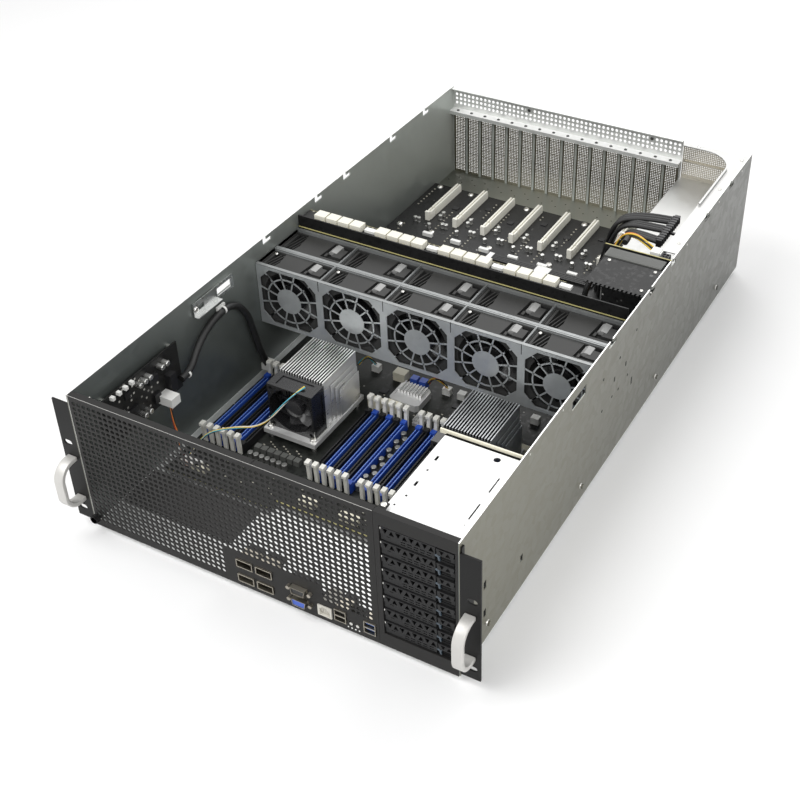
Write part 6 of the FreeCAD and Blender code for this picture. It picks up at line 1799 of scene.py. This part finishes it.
def makeRearWall():
    pitch = 6.45
    tile = holeTile("stripHole", pitch, pitch, circle(0, 0, 2.05, 12, 1.5), 1.2)
    columns = 53
    meshes = [fieldOf(gridded("stripField", tile, columns, 3, (-216.4 + pitch / 2, rear["front"], rear["stripLow"] + pitch / 2), (pitch, 0, 0), (0, 0, pitch), "rearSheet", merge=0.00001))]
    dropTile(tile)
    fieldRight = -216.4 + pitch * columns
    bm = bmesh.new()
    punched = [(-216.4, fieldRight, rear["stripLow"], rear["stripLow"] + 3 * pitch)]
    punched += [(rear["first"] + 1.2 + rear["pitch"] * i, rear["first"] + rear["wide"] - 1.2 + rear["pitch"] * i, 44.0, 139.0) for i in range(rear["covers"])]
    addPunched(bm, byFront, (rear["left"], rear["right"], 39.5, 172.6), rear["front"], rear["back"], punched)
    addBox(bm, rear["left"], rear["right"], rear["front"], rear["back"], 0.2, 39.5)
    addBox(bm, rear["left"], rear["right"], 786.0, rear["front"], 140.8, 142.0)
    addBox(bm, rear["left"], rear["right"], 786.0, 787.2, 136.8, 140.8)
    addBox(bm, rear["left"], rear["right"], 792.6, rear["front"], 171.4, 172.6)
    bmesh.ops.recalc_face_normals(bm, faces=bm.faces)
    meshes.append(meshFrom(bm, "rearSheets"))
    piece("rearWall", joinedMesh("rearWall", meshes), "rearSheet", stands=("rear_panel",))
    # painted light: the screw shelf's top face in a paler, less metallic sheet than the shelf, as lit from above
    boxPiece("screwShelfSkin", [(rear["left"] + 0.4, rear["right"] - 0.4, 786.2, rear["front"] - 0.05, 141.95, 142.25)], "cageTop")
    screws = [(rear["first"] + rear["pitch"] * i + rear["wide"] / 2, 791.5, 142.2) for i in range(rear["covers"])]
    piece("coverScrews", spotted("coverScrews", screwTiles["small"], screws, "screwDark"), "screwDark")
    washers = bmesh.new()
    for x in rear["stripScrews"]:
        addTurned(washers, place(x, 0, 163.8), [(5.4, 798.4), (5.4, 798.75)], 24, "y")
    piece("stripWashers", meshFrom(washers, "stripWashers"), "rearSheet")
    piece("stripScrews", spotted("stripScrews", screwTiles["front"], [(x, 798.4, 163.8) for x in rear["stripScrews"]], "screwDark"), "screwDark")
    bars = bmesh.new()
    for i in range(1, rear["covers"]):
        x = rear["first"] + rear["pitch"] * i - 0.5
        addBox(bars, x - 1.6, x + 1.6, 796.4, 797.5, 41.0, 140.6)
    piece("coverEdges", meshFrom(bars, "coverEdges"), "webSheet")
    boxPiece("lowShelf", [(rear["left"], rear["right"], 743.0, rear["front"], 39.5, 40.7)], "shelfSheet", bevel=0.1)
    # painted shade: dark discs stand for the shade seen through the shelf's holes
    marks = bmesh.new()
    for i in range(rear["covers"] * 2):
        x = rear["first"] + 5.4 + rear["pitch"] / 2 * i
        addTurned(marks, place(x, 770.0 + 12 * (i % 2), 0), [(1.0, 40.65), (1.0, 40.78)], 8)
    piece("lowShelfHoles", meshFrom(marks, "lowShelfHoles"), "bayDark")


def makeCovers():
    cell = rear["mesh"]
    tile = squareTile("coverHole", cell, 0.84, 0.8)
    rows = 36
    low = rear["coverLow"] + 3.6
    startX = rear["first"] + (rear["wide"] - cell * rear["columns"]) / 2 + cell / 2
    field = fieldOf(gridded("coverField", tile, rear["columns"], rows, (startX, rear["front"] - 1.0, low + cell / 2), (cell, 0, 0), (0, 0, cell), "coverSheet", merge=0.00001))
    dropTile(tile)
    bm = bmesh.new()
    x0, x1 = rear["first"], rear["first"] + rear["wide"]
    f0, f1 = startX - cell / 2, startX - cell / 2 + cell * rear["columns"]
    addPunched(bm, byFront, (x0, x1, rear["coverLow"], rear["coverTop"] - 1.4), rear["front"] - 1.0, rear["front"] - 0.2, [(f0, f1, low, low + rows * cell)])
    for k in range(1, 9):
        z = low + k * rows * cell / 9
        addBox(bm, f0, f1, rear["front"] - 1.25, rear["front"] - 0.95, z - 0.7, z + 0.7)
    addBox(bm, x0 + 0.5, x1 - 0.5, 789.0, rear["front"] - 1.0, 139.6, 140.6)
    bmesh.ops.recalc_face_normals(bm, faces=bm.faces)
    plate = meshFrom(bm, "coverPlate")
    one = joinedMesh("oneCover", [field, plate])
    holder = bpy.data.objects.new("oneCover", one)
    scene.collection.objects.link(holder)
    spots = [(rear["pitch"] * i, frontDepth, 0.0) for i in range(rear["covers"])]
    piece("slotCovers", spotted("slotCovers", holder, spots, "coverSheet"), "coverSheet", stands=("slot_covers",))
    dropTile(holder)


makeRearWall()
makeCovers()
print("rear wall made")

# The supply corner: the supplies' cage, the board in front of it, and the cables behind that board.

def makeSupplyVent():
    # the finely perforated wall over the supplies, with a bar across it
    cell = 2.6
    tile = holeTile("ventHole", cell, cell, circle(0, 0, 0.8, 8, 1.0), 1.0)
    columns, lows = 33, (123.4, 145.6)
    meshes = [fieldOf(gridded("ventField", tile, columns, 7, (129.4 + cell / 2, 797.6, low + cell / 2), (cell, 0, 0), (0, 0, cell), "ventSheet", merge=0.00001)) for low in lows]
    dropTile(tile)
    bm = bmesh.new()
    areas = [(129.4, 129.4 + cell * columns, low, low + cell * 7) for low in lows]
    addPunched(bm, byFront, (128.2, 218.4, 118.0, 168.0), 797.6, 798.6, areas)
    addBox(bm, 132.0, 187.0, 796.2, 797.6, 142.0, 144.2)
    for k in range(12):
        addBox(bm, 132.0 + 6.6 * k, 136.6 + 6.6 * k, 797.2, 797.6, 120.6, 121.8)
    bmesh.ops.recalc_face_normals(bm, faces=bm.faces)
    meshes.append(meshFrom(bm, "ventPlate"))
    piece("supplyVent", joinedMesh("supplyVent", meshes), "ventSheet")


def makeSupplyCorner():
    boxPiece("supplyBoard", [(137.0, 218.4, 512.0, 513.6, 44.0, 172.0)], "cardBoard", bevel=0.15)
    boxPiece("supplyBoardEdge", [(137.0, 218.4, 512.1, 513.5, 171.95, 172.25)], "boardEdge")
    block = bmesh.new()
    addBox(block, 145.0, 214.0, 490.6, 508.6, 160.0, 171.2)
    softened(block, 0.6)
    for k in range(44):
        addBox(block, 146.6 + 1.52 * k, 147.4 + 1.52 * k, 492.0, 507.4, 171.2, 171.5)
    piece("supplyBlock", meshFrom(block, "supplyBlock"), "chokeGrey")
    cover = bmesh.new()
    teeth = [(146.0, 490.0), (218.6, 490.0), (218.6, 434.0)]
    x = 218.6
    while x > 150.0:
        teeth += [(x - 2.6, 434.0), (x - 2.6, 430.4), (x - 5.2, 430.4), (x - 5.2, 434.0)]
        x -= 5.2
    teeth += [(146.0, 434.0)]
    addPlanPrism(cover, teeth, 168.4, 169.9)
    piece("supplyCover", meshFrom(cover, "supplyCover"), "riserFace")
    spots = [(154.0, 484.0, 169.9), (210.0, 484.0, 169.9), (210.0, 442.0, 169.9)]
    piece("supplyCoverScrews", spotted("supplyCoverScrews", screwTiles["small"], spots, "screwSteel"), "screwSteel")
    tile = plugTile("supplyPlug", 10.0, 10.0, 9.0, 2)
    copiesOf("supplyPlugs", tile, [(207.0, 524.0, 160.0)], "chipBlack")
    white = bmesh.new()
    addBox(white, 189.0, 200.0, 521.0, 533.0, 160.0, 171.4)
    softened(white, 0.5)
    addBox(white, 200.2, 201.6, 522.0, 531.0, 161.0, 170.4)
    piece("supplyPlugWhite", meshFrom(white, "supplyPlugWhite"), "whitePlastic")
    comb = bmesh.new()
    addBox(comb, 183.0, 189.5, 556.0, 621.0, 157.0, 166.4)
    softened(comb, 0.8, 2)
    for k in range(11):
        addBox(comb, 181.8, 190.6, 559.0 + 5.6 * k, 561.2 + 5.6 * k, 158.0, 167.0)
    addBox(comb, 188.0, 196.0, 584.0, 587.0, 160.0, 163.0)
    piece("supplyComb", meshFrom(comb, "supplyComb"), "chipBlack")
    # the light band over the supplies, with its large inner corner, and its rib
    band = bmesh.new()
    corner = [(200.0 - 40.0 * (1 - math.cos(math.pi / 2 * k / 12)), 790.0 - 40.0 + 40.0 * math.sin(math.pi / 2 * k / 12)) for k in range(13)]
    outline = [(200.0, 533.0)] + corner + [(129.5, 790.0), (129.5, 798.8), (217.3, 798.8), (217.3, 533.0)]
    addPlanPrism(band, outline, 168.0, 169.2)
    piece("supplyBand", meshFrom(band, "supplyBand"), "supplySheet", stands=("psu_cage",))
    # painted shade: a dark block fills the gap between the band and the right wall
    boxPiece("supplyGap", [(217.35, 218.75, 533.0, 798.6, 166.0, 169.0)], "bayDark")
    rib = bmesh.new()
    addSidePrism(rib, [(533.0, 168.0), (798.6, 168.0), (798.6, 158.5), (533.0, 158.5)], 199.6, 200.6)
    addBox(rib, 127.0, 128.2, 533.0, 798.8, 1.2, 117.0)
    for z in (39.0, 77.5):
        addBox(rib, 128.2, 218.4, 640.0, 797.6, z, z + 1.0)
    addBox(rib, 200.8, 203.2, 650.0, 750.0, 169.2, 172.4)
    addBox(rib, 132.0, 187.0, 796.4, 797.6, 142.0, 144.0)
    piece("supplyCage", meshFrom(rib, "supplyCage"), "supplySheet")
    boxPiece("supplyPlate", [(127.0, 218.4, 533.0, 797.6, 117.0, 118.0)], "supplyPlate", bevel=0.1)
    makeSupplyVent()
    spots = [(211.0, d, 169.2) for d in (556.0, 700.0, 785.0)] + [(150.0, 794.6, 169.2)]
    piece("bandScrews", spotted("bandScrews", screwTiles["small"], spots, "screwSteel"), "screwSteel")


sideCard = {"x0": -212.8, "x1": -211.2, "front": 36.0, "back": 155.0, "low": 82.0, "high": 143.0}


def makeSideCard():
    x0, x1 = sideCard["x0"], sideCard["x1"]
    boxPiece("sideCardBoard", [(x0, x1, sideCard["front"], sideCard["back"], sideCard["low"], sideCard["high"])], "sideCard", bevel=0.1, stands=("wiring",))
    posts = bmesh.new()
    for d in (42.0, 149.0):
        for z in (87.0, 138.0):
            addTurned(posts, place(-218.8, d, z), [(2.6, 0.0), (2.6, 6.0)], 8, "x")
    piece("sideCardPosts", meshFrom(posts, "sideCardPosts"), "screwSteel")
    parts = bmesh.new()
    for d, z, long, tall, high in ((50, 96, 12, 12, 2.0), (74, 104, 16, 10, 2.5), (70, 128, 8, 8, 2.0), (108, 124, 14, 9, 5.0), (112, 96, 10, 12, 3.0), (134, 104, 10, 22, 8.0)):
        addBox(parts, x1, x1 + high, d - long / 2, d + long / 2, z - tall / 2, z + tall / 2)
    softened(parts, 0.3)
    piece("sideCardChips", meshFrom(parts, "sideCardChips"), "chipBlack")
    cans = bmesh.new()
    for d, z in ((86, 132), (94, 132), (102, 132), (86, 92), (94, 92), (122, 132), (130, 132), (60, 112)):
        addTurned(cans, place(x1, d, z), [(3.2, 0.0), (3.2, 7.4), (2.7, 8.0)], 14, "x")
    piece("sideCardCans", meshFrom(cans, "sideCardCans"), "canMetal")
    plug = bmesh.new()
    addBox(plug, x1, x1 + 19.0, 113.5, 127.5, 86.0, 97.0)
    softened(plug, 0.6)
    addBox(plug, x1 + 3.0, x1 + 14.0, 127.5, 129.0, 88.0, 94.0)
    for k in range(4):
        addBox(plug, x1, x1 + 5.0, 46.0 + 10.0 * k, 50.0 + 10.0 * k, 138.0, 142.0)
    piece("sideCardPlug", meshFrom(plug, "sideCardPlug"), "whitePlastic")


routes = {
    "bundle": [(-206.5, 149, 97), (-206.5, 165, 97), (-209.5, 186, 117), (-212.5, 216, 130), (-212.5, 256, 132), (-211.5, 279, 106),
               (-211, 287, 68), (-210, 296, 34), (-209, 303, 12.6)],
    "leftLead": [(-90, 214, 83.1), (-95, 193, 82), (-120, 171, 46), (-152, 154, 46), (-178, 133, 40), (-190, 118, 9.4)],
    "rightLead": [(116, 214, 83.1), (111, 193, 83.1), (97, 172, 50), (89, 150, 24), (86, 138, 9.4)],
    "plugLead": [(-199, 119, 87), (-199, 117, 76), (-190, 112, 50), (-184, 108, 28), (-184, 108, 8.1)],
    "upperCable": [(183, 614, 161), (166, 609, 163), (144, 597, 166), (127, 588, 164), (117, 586, 148), (108, 596, 118), (100, 600, 84), (98, 598, 48)],
    "middleCable": [(183, 591, 161), (161, 586, 163), (142, 582, 164), (127, 583, 154), (116, 584, 128), (108, 586, 90), (106, 586, 48)],
    "lowerCable": [(183, 564, 161), (164, 564, 163), (144, 568, 160), (130, 572, 140), (118, 574, 100), (114, 574, 48)],
    "plugWires": [(189, 533, 167), (172, 543, 169.5), (158, 551, 168), (146, 554, 164), (136, 556, 150), (124, 560, 110), (120, 562, 48)],
    "underWires": [(-14, 356, 18), (-8, 352, 30), (0, 352, 34), (6, 357, 26), (9, 361, 17)],
    "underWiresLeft": [(-108, 350, 18), (-102, 354, 28), (-96, 360, 26), (-90, 361, 17)],
    "supplyCable": [(153, 533.6, 166), (153, 556, 166), (124, 576, 130), (104, 566, 88), (98, 552, 66), (98, 552, 47.1)],
}


def strands(name, route, width, looksOf, spreadBy, turns=0.0):
    # fine wires that run side by side round one route, each with its own control points
    for index, look in enumerate(looksOf):
        shifted = []
        for k, (x, d, z) in enumerate(route):
            angle = 2 * math.pi * (index / len(looksOf) + turns * k)
            shifted.append((x + spreadBy * math.cos(angle), d + spreadBy * math.sin(angle) * 0.5, z + spreadBy * math.sin(angle) * 0.8))
        tube("%s%d" % (name, index), shifted, width, look)


def makeWires():
    tube("wallBundle", routes["bundle"], 8.6, "sheathBlack", sides=12)
    strands("leftFanWire", routes["leftLead"], 1.5, ("wireBlue", "wireYellow", "wireWhite", "sheathBlack"), 1.1, 0.3)
    strands("rightFanWire", routes["rightLead"], 1.2, ("sheathBlack", "sheathBlack", "chokeGrey"), 0.7, 0.4)
    strands("plugWire", routes["plugLead"], 1.5, ("wireOrange", "wireRed", "wireOrange", "sheathBlack"), 1.3, 0.25)
    tube("supplySleeve", routes["supplyCable"], 7.6, "sheathBlack", sides=12)
    for name, shift in (("upperCable", 5.5), ("middleCable", 4.5), ("lowerCable", 4.0)):
        for part in (-1, 0, 1):
            tube("%s%d" % (name, part + 1), [(x, d + shift * part, z) for x, d, z in routes[name]], 5.6, "sheathBlack", sides=12)
    strands("supplyWire", routes["plugWires"], 2.0, ("wireOrange", "wireYellow", "sheathBlack", "wireYellow", "sheathBlack"), 2.4, 0.1)
    strands("underWire", routes["underWires"], 1.4, ("wireRed", "wireYellow", "sheathBlack"), 1.4, 0.15)
    strands("underWireLeft", routes["underWiresLeft"], 1.4, ("wireYellow", "wireBlue", "sheathBlack"), 1.2, 0.15)
    ties = bmesh.new()
    for x, d, z, r in ((-212.5, 240.0, 132.0, 4.9), (-206.5, 160.0, 97.0, 4.9), (141.0, 555.0, 160.0, 5.4)):
        annulusAlong(ties, place(x, d, z), r - 0.7, r, 2.4)
    piece("cableTies", meshFrom(ties, "cableTies"), "whitePlastic")
    ribbon = bmesh.new()
    for k in range(8):
        addBox(ribbon, -60.0, 92.0, 592.2 + 1.7 * k, 593.7 + 1.7 * k, 47.0, 50.4 - 0.3 * (k % 2))
    piece("cardRibbon", meshFrom(ribbon, "cardRibbon"), "sheathBlack")
    band = bmesh.new()
    addBox(band, 10.0, 30.0, 592.0, 606.0, 49.9, 50.9)
    addBox(band, -60.0, -53.0, 592.0, 606.0, 47.0, 50.9)
    softened(band, 0.2)
    piece("ribbonBand", meshFrom(band, "ribbonBand"), "whitePlastic")
    plugs = bmesh.new()
    addBox(plugs, -215.0, -203.0, 298.0, 312.0, 8.0, 17.0)
    addBox(plugs, -216.5, -214.0, 232.0, 246.0, 126.0, 138.0)
    softened(plugs, 0.6)
    piece("bundlePlugs", meshFrom(plugs, "bundlePlugs"), "whitePlastic")
    under = bmesh.new()
    addBox(under, -192.0, -168.0, 112.0, 122.0, 8.0, 15.0)
    softened(under, 0.5)
    piece("leadPlug", meshFrom(under, "leadPlug"), "whitePlastic")


def annulusAlong(bm, centre, inner, outer, wide):
    annulus(bm, centre, inner, outer, -wide / 2, wide / 2, 24)


makeSupplyCorner()
makeSideCard()
makeWires()
dress("psu_1", "supplySheet")
dress("psu_2", "supplySheet")
dress("psu_3", "supplySheet")
print("supplies, side card and cables made")


# The room: white behind, pale floor, soft light.

def makeRoom():
    world = bpy.data.worlds.new("studio")
    world.use_nodes = True
    scene.world = world
    tree = world.node_tree
    tree.nodes.clear()
    path = addNode(tree, "ShaderNodeLightPath")
    seen = mathNode(tree, "MAXIMUM", path.outputs["Is Camera Ray"], path.outputs["Is Glossy Ray"])
    seen = mathNode(tree, "MAXIMUM", seen, path.outputs["Is Transmission Ray"])
    plain = addNode(tree, "ShaderNodeBackground")
    soft = addNode(tree, "ShaderNodeBackground")
    plain.inputs["Strength"].default_value = 1.0
    soft.inputs["Strength"].default_value = 0.5
    plain.inputs["Color"].default_value = (1, 1, 1, 1)
    soft.inputs["Color"].default_value = (1, 1, 1, 1)
    blend = addNode(tree, "ShaderNodeMixShader")
    end = addNode(tree, "ShaderNodeOutputWorld")
    tree.links.new(seen, blend.inputs[0])
    tree.links.new(soft.outputs[0], blend.inputs[1])
    tree.links.new(plain.outputs[0], blend.inputs[2])
    tree.links.new(blend.outputs[0], end.inputs[0])
    material, floorTree, shader = newMaterial("floorWhite", specular=0.1)
    node = useGroup(floorTree, grainGroup, colour=(0.93, 0.93, 0.93, 1), roughness=0.85, variation=0.004)
    finishWith(floorTree, shader, node)
    looks["floorWhite"] = material
    bm = bmesh.new()
    addBox(bm, -6000, 6000, -6000, 7000, -12, -6)
    floor = bpy.data.objects.new("studioFloor", meshFrom(bm, "studioFloor"))
    scene.collection.objects.link(floor)
    floor.data.materials.append(material)


lamps = (("key", (-900, -700, 1900), (0, 400, 0), 1800, 29.5), ("fill", (1500, -900, 1300), (0, 300, 60), 1600, 18.0),
         ("back", (-200, 1900, 1700), (0, 500, 60), 1800, 20.0))


def makeLamps():
    for name, where, target, size, power in lamps:
        data = bpy.data.lights.new(name, "AREA")
        data.shape = "DISK"
        data.size = size * mm
        data.energy = power
        lamp = bpy.data.objects.new(name, data)
        lamp.location = place(*where)
        lamp.rotation_euler = (place(*target) - place(*where)).to_track_quat("-Z", "Y").to_euler()
        scene.collection.objects.link(lamp)


shot = {"where": (0.60087, -1.09989, 0.96716), "azimuth": 28.1195, "elevation": 36.5866, "roll": -0.159, "lens": 58.487,
        "shiftX": -0.0824, "shiftY": -0.0564}


def makeCamera():
    azimuth, elevation = math.radians(shot["azimuth"]), math.radians(shot["elevation"])
    ahead = Vector((-math.sin(azimuth) * math.cos(elevation), math.cos(azimuth) * math.cos(elevation), -math.sin(elevation)))
    aside = Vector((math.cos(azimuth), math.sin(azimuth), 0))
    above = aside.cross(ahead)
    turn = Matrix.Rotation(math.radians(-shot["roll"]), 3, ahead)
    aside, above = turn @ aside, turn @ above
    data = bpy.data.cameras.new("camera")
    data.sensor_width = 36.0
    data.lens = shot["lens"]
    data.shift_x = shot["shiftX"]
    data.shift_y = shot["shiftY"]
    data.clip_start = 0.05
    data.clip_end = 50.0
    camera = bpy.data.objects.new("camera", data)
    basis = Matrix((aside, above, -ahead)).transposed().to_4x4()
    camera.matrix_world = Matrix.Translation(Vector(shot["where"])) @ basis
    scene.collection.objects.link(camera)
    scene.camera = camera


for tile in screwTiles.values():
    dropTile(tile)
makeRoom()
makeLamps()
makeCamera()
print("room, lamps and camera made")
